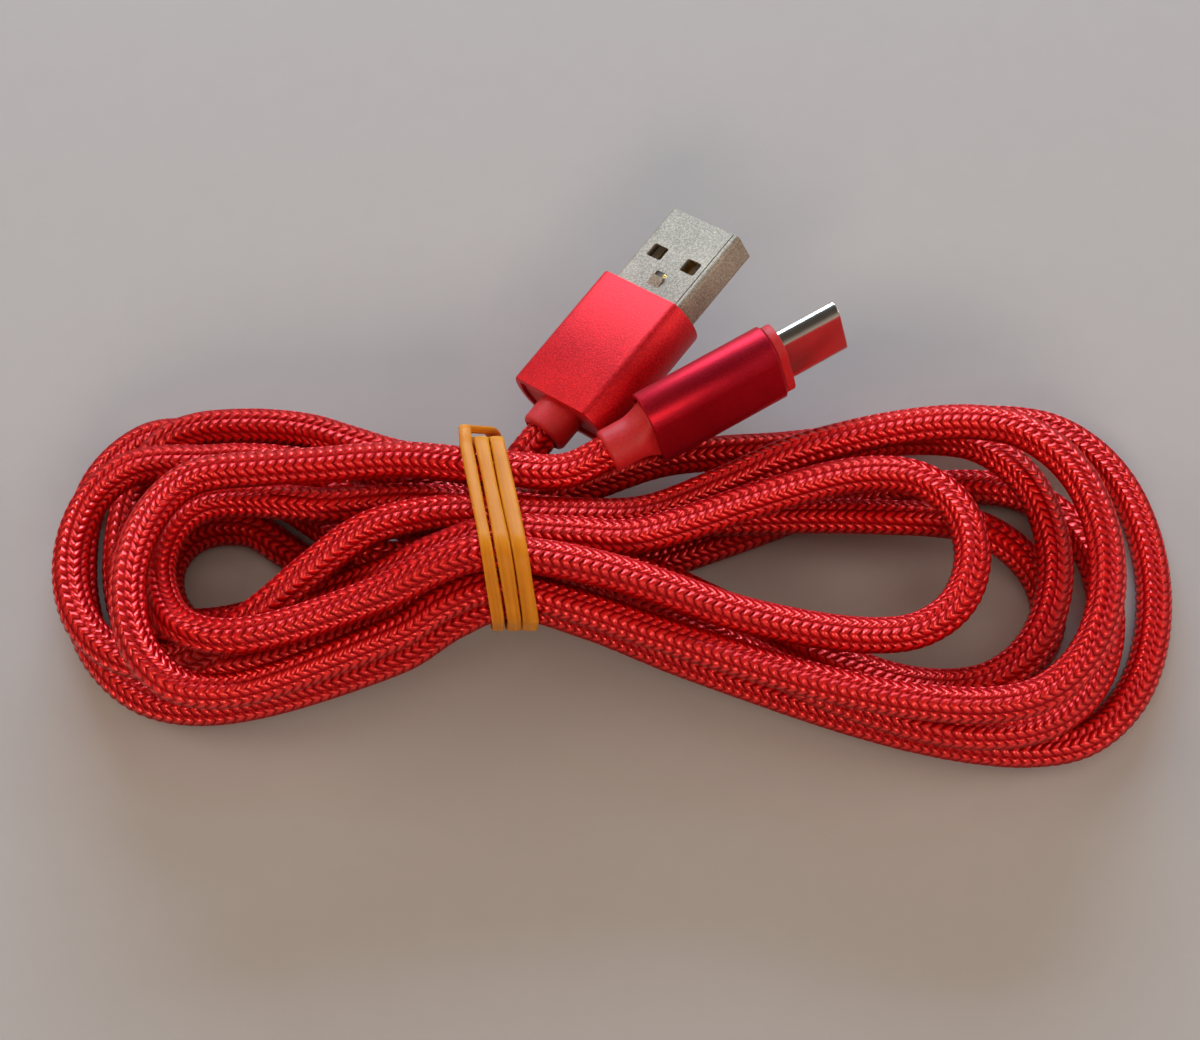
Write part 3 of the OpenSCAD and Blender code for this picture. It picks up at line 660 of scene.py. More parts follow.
@dataclass(frozen=True)
class RubberFinish:
    """Amber natural rubber: cloudy, slightly see-through, with faint streaks along the ribbon."""

    name: str = "amber_rubber"
    light: Colour = (0.66, 0.265, 0.01)
    deep: Colour = (0.45, 0.135, 0.003)
    roughness: tuple[float, float] = (0.44, 0.56)
    streaks: tuple[float, float, float] = (6.0, 0.16, 1.0)
    specks: float = 2600.0
    clouds: float = 160.0
    streak_share: float = 0.6
    cloud_share: float = 0.4
    relief: float = 0.0001

    def build(self, grain: bpy.types.NodeTree) -> bpy.types.Material:
        """Makes the material: streaks from a noise drawn out along the ribbon on its own map.

        Args:
            grain: The shared group of fine grain.

        Returns:
            The material.
        """
        g = Surface(self.name)
        drawn = g.node("Mapping", Vector=g.node("UVMap", uv_map="Wound").outputs[0], Scale=self.streaks)
        streak = g.node("TexNoise", Vector=drawn.outputs[0], Scale=2.0, Detail=3.0).outputs["Fac"]
        speckle = g.node("Group", node_tree=grain, Position=g.node("TexCoord").outputs["Object"],
                         Grain=self.specks, Cloudiness=self.clouds)
        share = g.math("MULTIPLY_ADD", speckle.outputs["Cloud"], self.cloud_share,
                       g.spread(streak, 0.35, 0.75, 0.0, self.streak_share), clamp=True)
        g.wear(Base_Color=g.mix(share, self.light, self.deep),
               Roughness=g.spread(share, 0.0, 1.0, *self.roughness), Specular_IOR_Level=0.2,
               Subsurface_Weight=0.55, Subsurface_Radius=(1.0, 0.5, 0.15), Subsurface_Scale=0.0012,
               Normal=g.raised(streak, self.relief, 0.25))
        return g.material


PLAIN_FINISHES = (
    PlainFinish("housing_blasted", (0.86, 0.014, 0.022), (0.42, 0.001, 0.008), 0.6, (0.4, 0.54), 4200.0,
                0.3),
    PlainFinish("housing_satin", (0.55, 0.012, 0.03), (0.4, 0.002, 0.016), 0.85, (0.42, 0.48), 5200.0, 0.2),
    PlainFinish("steel_satin", (0.5, 0.436, 0.34), (0.16, 0.142, 0.112), 0.4, (0.39, 0.52), 4000.0, 0.26),
    PlainFinish("steel_polished", (0.83, 0.8, 0.74), (0.75, 0.72, 0.67), 1.0, (0.19, 0.21), 1200.0, 0.01),
    PlainFinish("relief", (0.56, 0.01, 0.013), (0.42, 0.005, 0.008), 0.0, (0.52, 0.66), 2800.0, 0.35,
                subsurface=0.1),
    PlainFinish("insulator", (0.02, 0.02, 0.02), (0.012, 0.012, 0.012), 0.0, (0.4, 0.5), 2400.0, 0.2),
    PlainFinish("tongue", (0.5, 0.42, 0.35), (0.36, 0.3, 0.25), 0.0, (0.4, 0.5), 2400.0, 0.2),
    PlainFinish("core", (0.1, 0.1, 0.1), (0.06, 0.06, 0.06), 0.0, (0.5, 0.6), 2400.0, 0.3),
    PlainFinish("contact", (0.9, 0.62, 0.24), (0.75, 0.48, 0.16), 1.0, (0.2, 0.3), 3000.0, 0.15,
                Pattern.BRUSHED),
    PlainFinish("spring", (0.7, 0.69, 0.66), (0.55, 0.55, 0.54), 1.0, (0.25, 0.35), 3000.0, 0.2,
                Pattern.BRUSHED),
    PlainFinish("board", (0.03, 0.24, 0.1), (0.02, 0.15, 0.06), 0.0, (0.25, 0.35), 2200.0, 0.2, coat=0.3),
    PlainFinish("chip", (0.03, 0.03, 0.032), (0.02, 0.02, 0.02), 0.0, (0.45, 0.55), 3200.0, 0.3),
    PlainFinish("wire", (0.66, 0.012, 0.03), (0.42, 0.003, 0.012), 0.0, (0.3, 0.4), 2600.0, 0.15),
    PlainFinish("jacket", (0.3, 0.01, 0.02), (0.2, 0.005, 0.01), 0.0, (0.45, 0.55), 2600.0, 0.25),
    PlainFinish("ferrule", (0.76, 0.76, 0.78), (0.6, 0.6, 0.62), 1.0, (0.25, 0.35), 2600.0, 0.2,
                Pattern.BRUSHED),
)


class Workshop:
    """Holds the finishes by name, and dresses the pieces with them."""

    def __init__(self) -> None:
        """Builds the shared groups and every finish once."""
        grain = grain_group()
        self.made = {finish.name: finish.build(grain) for finish in PLAIN_FINISHES}
        self.made["braid"] = BraidFinish().build(weave_group(), grain)
        self.made["band"] = RubberFinish().build(grain)

    def dress(self, piece: bpy.types.Object, finish: str) -> None:
        """Gives every material slot of a piece one finish.

        Args:
            piece: The piece or CAD node.
            finish: The finish's name.
        """
        if not piece.material_slots:
            piece.data.materials.append(self.made[finish])
        for slot in piece.material_slots:
            slot.material = self.made[finish]

    def stand_in(self, piece: bpy.types.Object, nodes: tuple[str, ...],
                 finish: str) -> bpy.types.Object:
        """Puts a piece in the place of CAD nodes, on the cable's one body, and dresses it.

        Args:
            piece: The piece.
            nodes: The nodes that it stands for.
            finish: The finish's name here.

        Returns:
            The piece.
        """
        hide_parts(*nodes)
        self.dress(piece, finish)
        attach(piece, "root")
        return piece

    def keep(self, kept: dict[str, str]) -> list[bpy.types.Object]:
        """Dresses the CAD nodes that stay.

        Args:
            kept: The finish of each node, by the node's name.

        Returns:
            The nodes.
        """
        for node, finish in kept.items():
            self.dress(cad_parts[node], finish)
        return [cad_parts[node] for node in kept]


# ---------------------------------------------------------------- cord


HANK_POINTS = (
    (0, 8.3, 9.8), (-12.58, 9.42, 11.26), (-23.68, 13.85, 9.16), (-33.85, 14.76, 8.72),
    (-41.7, 13.64, 7.02), (-46.48, 8.19, 4.07), (-48.02, -0.53, 2.62), (-46.28, -9.28, 2.76),
    (-41.29, -14.77, 3.41), (-33.58, -15.85, 4.63), (-23.33, -13.81, 6.62),
    (-11.46, -10.04, 9.07), (0.89, -5.08, 12.88), (21.49, -11.4, 10.13), (39.69, -20.6, 9.3),
    (55, -25.84, 9.75), (66.7, -24.73, 8.41), (74.09, -17.99, 5.71), (76.68, -7.91, 3.7),
    (74.08, 2.08, 2.97), (66.42, 8.27, 2.38), (54.15, 8.75, 2.08), (37.96, 5.26, 1.88),
    (19.18, -1.69, 2.39), (-2.05, -4.29, 4.14), (-12.6, -3.37, 2.55), (-23.15, -1.94, 1.88),
    (-30.97, 2.99, 1.88), (-37.12, 3.13, 1.88), (-40.8, 0.53, 1.88), (-42.12, -3.7, 1.88),
    (-40.65, -8.11, 1.88), (-36.6, -10.93, 1.88), (-29.88, -11.22, 1.88), (-20.69, -10.13, 1.88),
    (-10.19, -11.26, 3.97), (0.48, -8.35, 6.92), (18.58, -9.32, 3.11), (35.29, -14.65, 2.06),
    (49.62, -18.05, 1.98), (60.6, -17.68, 1.95), (67.46, -13.73, 1.91), (69.69, -7.56, 1.88),
    (67.2, -1.44, 2.77), (60.35, 2.39, 5.33), (49.47, 2.99, 6.9), (35.21, 3.02, 7.15),
    (19.15, 2.39, 7.22), (0.7, 2.99, 9.99), (-10.38, 3.4, 11.45), (-20.69, 2.43, 12.21),
    (-29.5, 3.7, 10.92), (-35.87, 3.29, 11), (-39.9, 0.06, 11.54), (-41.38, -5.64, 12.45),
    (-39.74, -11.82, 14.44), (-35.95, -15.82, 17.12), (-29.79, -16.82, 18.2),
    (-21.5, -14.55, 17.91), (-11.96, -10.96, 18.65), (-1.15, -7.31, 21.03), (14.58, -8.93, 18.85),
    (28.69, -12.93, 16.2), (41.13, -15.31, 15.15), (50.66, -15.01, 14.44), (56.6, -10.93, 13.99),
    (58.72, -4.41, 13.75), (56.91, 1.98, 13.73), (51.31, 5.68, 13.93), (42.35, 5.26, 14.36),
    (30.6, 1.44, 15.1), (16.64, -3.29, 16.09), (0.44, -3.35, 17.87), (-12.49, -7.02, 13.92),
    (-23.56, -9.45, 9.64), (-33.37, -11.78, 8.39), (-40.4, -11.52, 7.92), (-44.62, -8.04, 7.93),
    (-45.84, -2.23, 8.18), (-43.62, 3.69, 7.11), (-39.26, 7.8, 4.41), (-31.78, 9, 3.31),
    (-23.5, 3.62, 4.7), (-13.82, -3.1, 8.33), (-1.2, -1.86, 9.03), (17.89, -4.78, 8.05),
    (35.08, -12.9, 7.2), (49.45, -18.96, 7.55), (60.44, -18.97, 7.72), (67.4, -12.98, 7.89),
    (69.85, -3.24, 8.06), (67.54, 6.62, 7.97), (60.64, 12.78, 7.68), (49.96, 13.43, 7.76),
    (36.13, 11.91, 7.96), (20.14, 10.44, 7.54), (2.31, 5.28, 5.17), (-11.71, 7.99, 6.19),
    (-24.2, 13.06, 3.55), (-35.87, 15.73, 2.6), (-45.2, 15.94, 2.03), (-51.77, 9.29, 2.03),
    (-53.27, -1.6, 2.3), (-50.61, -12.54, 2.85), (-43.81, -19.54, 3.35), (-34.68, -21.24, 3.99),
    (-23.35, -19.1, 5.03), (-10.69, -15.36, 8.17), (2.25, -10.06, 11.69), (22.53, -15.14, 5.41),
    (42.15, -21.93, 4.03), (59.25, -26.01, 3.34), (72.41, -25.16, 2.87), (80.54, -16.86, 2.15),
    (83.2, -3.89, 2.03), (80.26, 8.97, 2.03), (71.91, 17.02, 2.03), (58.73, 17.85, 2.03),
    (41.61, 13.47, 2.03), (22.39, 5.11, 2.03), (0.13, 0.53, 4.33), (-14.22, 3.33, 6.56),
    (-25.9, 8.98, 9.44), (-37.18, 9.23, 10.01), (-45.58, 8.4, 10.24), (-50.93, 3.71, 9.85),
    (-52.8, -3.76, 9.59), (-51.08, -11.35, 9.59), (-45.94, -16.4, 9.91), (-37.79, -17.17, 10.62),
    (-27.53, -11.91, 14.54), (-15.65, -2.3, 15.81), (-1.78, 0.54, 15), (18.31, 1.33, 12.39),
    (36.83, 9.12, 12.71), (52.77, 12.95, 13.09), (64.96, 12.4, 13.33), (72.62, 5.63, 13.36),
    (75.24, -5.25, 13.5), (72.66, -16.2, 13.81), (65.08, -23.22, 14.3), (53.03, -24.22, 14.87),
    (37.36, -20.88, 14.54), (19.68, -15.06, 14.62), (0.23, -9.96, 16.65), (-10.61, -14.51, 14.49),
    (-21.11, -19.22, 14.68), (-30.27, -22.52, 15.25), (-37.69, -22.19, 16.06),
    (-42.5, -17.29, 17.55), (-43.8, -9.23, 18.24), (-41.73, -1.04, 17.56), (-37.06, 4.26, 16.65),
    (-30.09, 5.56, 16.27), (-21.24, 6.27, 16.17), (-11.05, 7.07, 15.92), (0, 5.7, 16.4)
)


@dataclass
class Hank:
    """The cord's way through the hank, strand by strand, and its two leads."""

    points: tuple[Place, ...] = HANK_POINTS
    cord: float = 4.7
    lead_pull: float = 4.5
    lead_rings: int = 10
    seat: float = 2.2

    def route(self) -> Array:
        """Points with the place between each two where a smooth curve passes: nine sixteenths of
        the two less one sixteenth of the two next to them.

        Returns:
            The hank's centre line, from the wide plug's lead to the small plug's.
        """
        p = np.array(self.points)
        q = np.concatenate([[2 * p[0] - p[1]], p, [2 * p[-1] - p[-2]]])
        out = np.empty((2 * len(p) - 1, 3))
        out[::2] = p
        out[1::2] = (9 * (p[:-1] + p[1:]) - q[:-3] - q[3:]) / 16.0
        return out

    def lead(self, place: PlugPlace, back: float, end: Array) -> Array:
        """Lead from a plug: straight for a cord's diameter, then a cubic over to the hank's end.

        Args:
            place: The plug's place.
            back: Length of the plug behind its front face.
            end: Point at which the hank begins or ends.

        Returns:
            The lead's points, from the plug to the hank.
        """
        way = place.way()
        seat = np.array(place.at) - (back - self.seat) * way
        free = seat - self.cord * way
        p = [free, free - self.lead_pull * way, end + np.array([self.lead_pull, 0, 0]), end]
        t = (np.arange(self.lead_rings + 1) / self.lead_rings)[:, None]
        s = 1.0 - t
        curve = s**3 * p[0] + 3 * s * s * t * p[1] + 3 * s * t * t * p[2] + t**3 * p[3]
        return np.concatenate([[seat, (seat + free) / 2.0], curve])


@dataclass
class Cord:
    """The braided cord from plug to plug: one tube, with the braid's floats raised on it.

    Flank is a float's height halfway between its end and its back, and edge how far the points
    between two columns lie down, both as shares of dip.
    """

    route: Array
    first: Array
    last: Array
    waist: Array
    diameter: float = 4.7
    pitch: float = 1.2
    dip: float = 0.16
    flank: float = 0.8
    edge: float = 0.8
    columns: int = 16
    rings_a_float: int = 4
    length: float = field(init=False, default=0.0)
    path: Array = field(init=False, default=None)

    def build(self) -> bpy.types.Object:
        """Makes the tube. Rings stand a quarter of a float apart. Every other column of points is
        a column's edge, and lies half a float on or back, so that the quads slant as the yarn
        does. Points dip where one float ends and the next begins, and along the columns' edges.

        Returns:
            The piece.
        """
        curve = threaded(self.route, self.first, self.last)
        self.length = float(run_of(curve)[-1])
        count = int(round(self.length / self.pitch * self.rings_a_float)) + 1
        self.path = resampled(curve, np.linspace(0.0, self.length, count))
        along = unit(np.gradient(self.path, axis=0))
        side = unit(np.cross(along, [0.0, 0.0, 1.0]))
        up = np.cross(side, along)
        half = self.rings_a_float // 2
        ring = np.arange(count)[:, None]
        turn = np.arange(self.columns + 1)[None, :]
        lay = np.clip(ring + np.array([0, half, 0, -half])[turn % 4], 0, count - 1)
        at, column = lay[:, :-1], turn[:, :-1]
        phase = (ring + np.where(column % 4 == 2, half, 0)) % self.rings_a_float
        hump = np.array([0.0, self.flank, 1.0, self.flank])[phase]
        radius = self.diameter / 2.0 - self.dip * np.where(column % 2 == 1, self.edge, 1.0 - hump)
        angle = math.tau * column / self.columns
        points = self.path[at] + radius[..., None] * (
            np.cos(angle)[..., None] * side[at] + np.sin(angle)[..., None] * up[at])
        points[..., 2] = np.maximum(points[..., 2], 0.0)
        uv = np.stack(np.broadcast_arrays(turn / self.columns, lay / self.rings_a_float), axis=-1)
        patch = Patch(points[:, ::-1], start_capped=True, end_capped=True)
        piece = MeshMaker("cord_braid", self.waist).add(patch, uv[:, ::-1]).make(crease=60.0)
        self.map_yarn(piece)
        return piece

    def map_yarn(self, piece: bpy.types.Object) -> None:
        """Adds the map Yarn, whose U runs at a right angle to the floats of each face's column.

        With X the way round the cord and Y the way along it, both as lengths, and a the floats'
        angle from the way round, U is Y times the cosine of a less X times its sine, and V is X
        times the cosine plus Y times the sine. In every other column a has the other sign.

        Args:
            piece: The cord, whose map Wound is there already.
        """
        wound_layer = piece.data.uv_layers["Wound"]
        flat = np.empty(len(wound_layer.data) * 2, dtype=np.float32)
        wound_layer.data.foreach_get("uv", flat)
        # The two caps come first, with a corner for each column of points
        caps, quads = np.split(flat.reshape(-1, 2), [2 * self.columns])
        quads = quads.reshape(-1, 4, 2)
        column = np.floor(quads[:, :, 0].mean(axis=1) * self.columns / 2 + 0.5)
        girth = math.pi * self.diameter
        slant = math.atan2(self.pitch, girth * 2 / self.columns)
        angle = slant * np.where(column % 2 == 1, -1.0, 1.0)
        cos, sin = np.cos(angle)[:, None], np.sin(angle)[:, None]
        x, y = quads[:, :, 0] * girth, quads[:, :, 1] * self.pitch
        yarn_quads = np.stack([y * cos - x * sin, x * cos + y * sin], axis=-1)
        out = np.concatenate([caps, yarn_quads.reshape(-1, 2)])
        yarn_layer = piece.data.uv_layers.new(name="Yarn")
        yarn_layer.data.foreach_set("uv", out.astype(np.float32).ravel())
        piece.data.uv_layers.active = piece.data.uv_layers["Wound"]


@dataclass
class Band:
    """The rubber band: one ribbon wound three times round the strands at the waist.

    Shares are the windings' widths as shares of the full width. Clear is the space between the
    strands and the ribbon, and beside how far a strand may lie beside the windings and still
    carry them. Step is the length over which the ribbon goes over to the next winding, hop how
    far it lifts there on its way back to the first, and rise from where to where it comes down,
    as shares of half the step. Squareness is the powers that make its section a rounded
    rectangle, and swell and ripple how much and how fast the width varies along it.
    """

    strands: Array
    waist: Array
    cord: float = 4.7
    width: float = 1.92
    thickness: float = 1.0
    gap: float = 0.04
    shares: tuple[float, float, float] = (0.84, 0.99, 1.05)
    clear: float = 0.3
    beside: float = 0.2
    turns: int = 3
    rings: int = 200
    angles: int = 72
    sides: int = 16
    start: float = -67.0
    middle: tuple[float, float] = (-1.2, 13.0)
    lean: float = -0.19
    step: float = 9.0
    hop: float = 1.46
    rise: tuple[float, float] = (0.95, 1.6)
    squareness: tuple[float, float] = (0.5, 0.75)
    swell: float = 0.05
    ripple: tuple[float, float] = (0.31, 2.1)
    map_length: float = 10.0

    def loop(self, reach: float) -> tuple[Array, Array]:
        """Line of one winding seen along the hank: in each direction from the middle, it lies
        outside the strand that reaches furthest that way, of those within reach of the band.

        Args:
            reach: How far from the band's middle a strand still counts, along the hank.

        Returns:
            The directions' angles in degrees, and the line's points (y, z).
        """
        points = halved(self.strands)
        under = points[np.abs(points[:, 0] - self.lean * points[:, 1]) < reach][:, 1:] - self.middle
        angle = self.start + 360.0 * np.arange(self.angles + 1) / self.angles
        way = np.stack([np.cos(np.radians(angle)), np.sin(np.radians(angle))], axis=1)
        furthest = under[np.argmax(under @ way.T, axis=0)]
        return angle, furthest + self.middle + (self.cord / 2.0 + self.clear + self.thickness / 2.0) * way

    def build(self) -> bpy.types.Object:
        """Makes the ribbon. Turn by turn its line steps over to the next winding, on the side of
        the plugs, and lifts over the others on its way back to the first. Its section is a
        rounded rectangle: a cosine and a sine, each to a power. Its width swells slowly along it
        with a sine, and is a share of the full width that differs from winding to winding.

        Returns:
            The piece.
        """
        pitch = self.width + self.gap
        angle, loop = self.loop(self.turns / 2.0 * pitch + self.beside)
        run = run_of(loop)
        plug_side = angle < 90.0
        step_at = np.interp(self.middle[1], loop[plug_side, 1], run[plug_side])
        turn = np.repeat(np.arange(self.turns), self.rings)
        after = (turn + 1) % self.turns
        s = np.tile(run[-1] * np.arange(self.rings) / self.rings, self.turns)
        a = np.radians(np.interp(s, run, angle))
        y, z = np.interp(s, run, loop[:, 0]), np.interp(s, run, loop[:, 1])
        normal = np.stack([np.zeros_like(a), np.cos(a), np.sin(a)], axis=1)
        moved = smooth((s - step_at) / self.step + 0.5)
        spot = (np.arange(self.turns) - (self.turns - 1) // 2) * pitch
        x = spot[turn] + (spot[after] - spot[turn]) * moved
        share = np.array(self.shares)
        share = share[turn] + (share[after] - share[turn]) * moved
        away = np.abs(s - step_at) / (self.step / 2.0)
        lift = self.hop * (1.0 - smooth((away - self.rise[0]) / (self.rise[1] - self.rise[0])))
        lift = np.where(after == 0, lift, 0.0)
        centre = np.stack([x + self.lean * y, y, z], axis=1) + lift[:, None] * normal
        section = math.tau * np.arange(self.sides) / self.sides
        wave = np.stack([np.cos(section), np.sin(section)], axis=1)
        flat = np.sign(wave) * np.abs(wave) ** self.squareness
        rate, shift = self.ripple
        half_width = self.width / 2.0 * share * (1.0 - self.swell * (1 + np.sin(s * rate + turn * shift)))
        rows = (centre[:, None] + half_width[:, None, None] * flat[None, :, :1] * np.array([1.0, 0.0, 0.0])
                + self.thickness / 2.0 * flat[None, :, 1:] * normal[:, None])
        total = np.append(s + turn * run[-1], self.turns * run[-1])[:, None]
        across = np.arange(self.sides + 1)[None, :] / self.sides
        uv = np.stack(np.broadcast_arrays(across, total / self.map_length), axis=-1)
        return MeshMaker("band_ribbon", self.waist).add(Patch(rows, rows_closed=True), uv).make(crease=80.0)


# ---------------------------------------------------------------- plugs


@dataclass
class Plug:
    """What both plugs share.

    Mouth gap is how much wider a relief's mouth is than the cord, mouth_lip where its wall starts
    and mouth_l where it ends, from the relief's rear.
    """

    place: PlugPlace
    waist: Array
    cord_d: float = 4.7
    mouth_gap: float = 0.12
    mouth_lip: float = 0.3
    mouth_l: float = 2.2
    kept: ClassVar[dict[str, str]] = {}

    def pieces(self) -> list[tuple[bpy.types.Object, str, str, str]]:
        """Makes the plug's own pieces: each with its node, its slot and its finish."""
        raise NotImplementedError

    def mouth(self, rear: float, hole: Array) -> Stations:
        """Wall of the hole that a relief holds the cord in, from just inside its rear face on."""
        return [(rear + self.mouth_lip, hole), (rear + self.mouth_l, hole)]

    def lofted(self, name: str, *parts: Stations, joined: bool = False,
               crease: float = 32.0) -> bpy.types.Object:
        """Piece of one or more lofts along the plug.

        Args:
            name: The piece's name.
            *parts: For each loft, places along the plug and the outlines there.
            joined: Whether a loft's last outline joins its first.
            crease: Angle in degrees past which an edge stays crisp.

        Returns:
            The piece.
        """
        maker = MeshMaker(name, self.waist)
        for stations in parts:
            maker.add(self.place.loft(stations, joined))
        return maker.make(crease)

    def build(self, shop: Workshop) -> list[bpy.types.Object]:
        """Makes the plug's outer pieces, and dresses the solids that stay.

        Args:
            shop: The finishes.

        Returns:
            The pieces of the plug.
        """
        made = [shop.stand_in(piece, (node,), finish) for piece, node, slot, finish in self.pieces()]
        return made + shop.keep(self.kept)


@dataclass
class PlugA(Plug):
    """The wide plug: flat housing, strain relief, and the solids inside it."""

    housing_l: float = 18.6
    housing_w: float = 15.4
    flat_w: float = 12.6
    housing_h: float = 7.8
    wall: float = 0.9
    front_wall: float = 1.4
    corner: float = 0.7
    shell_w: float = 12.0
    shell_flat: float = 11.7
    shell_h: float = 4.5
    shell_corner: float = 0.5
    relief_d: float = 6.3
    relief_l: float = 4.0
    bevel: float = 0.22
    kept: ClassVar[dict[str, str]] = {
        "a_shell": "steel_satin", "a_tongue": "tongue", "a_contact_supply": "contact",
        "a_contact_data_minus": "contact", "a_contact_data_plus": "contact",
        "a_contact_ground": "contact", "a_core": "core", "a_wires": "wire",
        "a_ferrule": "ferrule", "a_cord_end": "jacket"}

    def housing(self) -> bpy.types.Object:
        """Sleeve with a front wall: outlines from the shell's hole, over the front's edge, back
        along the outside, over the rear edge and forwards along the inside.

        Returns:
            The piece.
        """
        l, edge, ease = self.housing_l, self.bevel, self.bevel * 0.3
        side_gap, top_gap, lip = 0.1, 0.06, 0.06
        full = barrel_outline(self.housing_w, self.flat_w, self.housing_h, self.corner)
        hole = barrel_outline(self.shell_w + side_gap, self.shell_flat, self.shell_h + top_gap,
                              self.shell_corner)
        inside = inset(full, self.wall)
        return self.lofted("a_housing_sleeve", [
            (-self.front_wall, hole), (-lip, hole), (0.0, inset(hole, -lip)), (0.0, inset(full, edge)),
            (-ease, inset(full, ease)), (-edge, full), (-l + edge, full), (-l + ease, inset(full, ease)),
            (-l, inset(full, edge)), (-l, inside), (-self.front_wall, inside)], joined=True)

    def relief(self) -> bpy.types.Object:
        """Round strain relief: a plate that closes the housing's rear, and circles along the
        stem, its rear edge rounded and its mouth round the cord.

        Returns:
            The piece.
        """
        l, d, mouth = self.housing_l, self.relief_d, self.cord_d + self.mouth_gap
        side_gap, top_gap, narrower, plate_corner = 0.3, 0.08, 1.4, 1.6
        plate_front, stem_front, recess, chamfer, waist_d = 3.0, 1.5, 0.4, 0.1, d - 0.35
        rear = -l - self.relief_l
        ease_at = rear + 0.9
        outline = barrel_outline(
            self.housing_w - 2 * self.wall - side_gap, self.flat_w - narrower,
            self.housing_h - 2 * self.wall - top_gap, plate_corner)
        plate = [(-l + plate_front, outline), (-l + recess + chamfer, outline),
                 (-l + recess, inset(outline, chamfer))]
        stem = [(-l + stem_front, disc(waist_d)), (-l + 0.1, disc(waist_d)), (-l - 0.15, disc(d - 0.02)),
                (-l - 0.5, disc(d)), (ease_at, disc(d)), *rounded_end(ease_at, 0.7, d, 1.2, disc),
                (rear + 0.15, disc(mouth + 0.1)), *self.mouth(rear, disc(mouth))]
        return self.lofted("a_relief_stem", plate, stem, crease=40.0)

    def pieces(self) -> list[tuple[bpy.types.Object, str, str, str]]:
        """Makes the plug's own pieces: each with its node, its slot and its finish."""
        return [(self.housing(), "a_housing", "housing", "housing_blasted"),
                (self.relief(), "a_relief", "relief", "relief")]


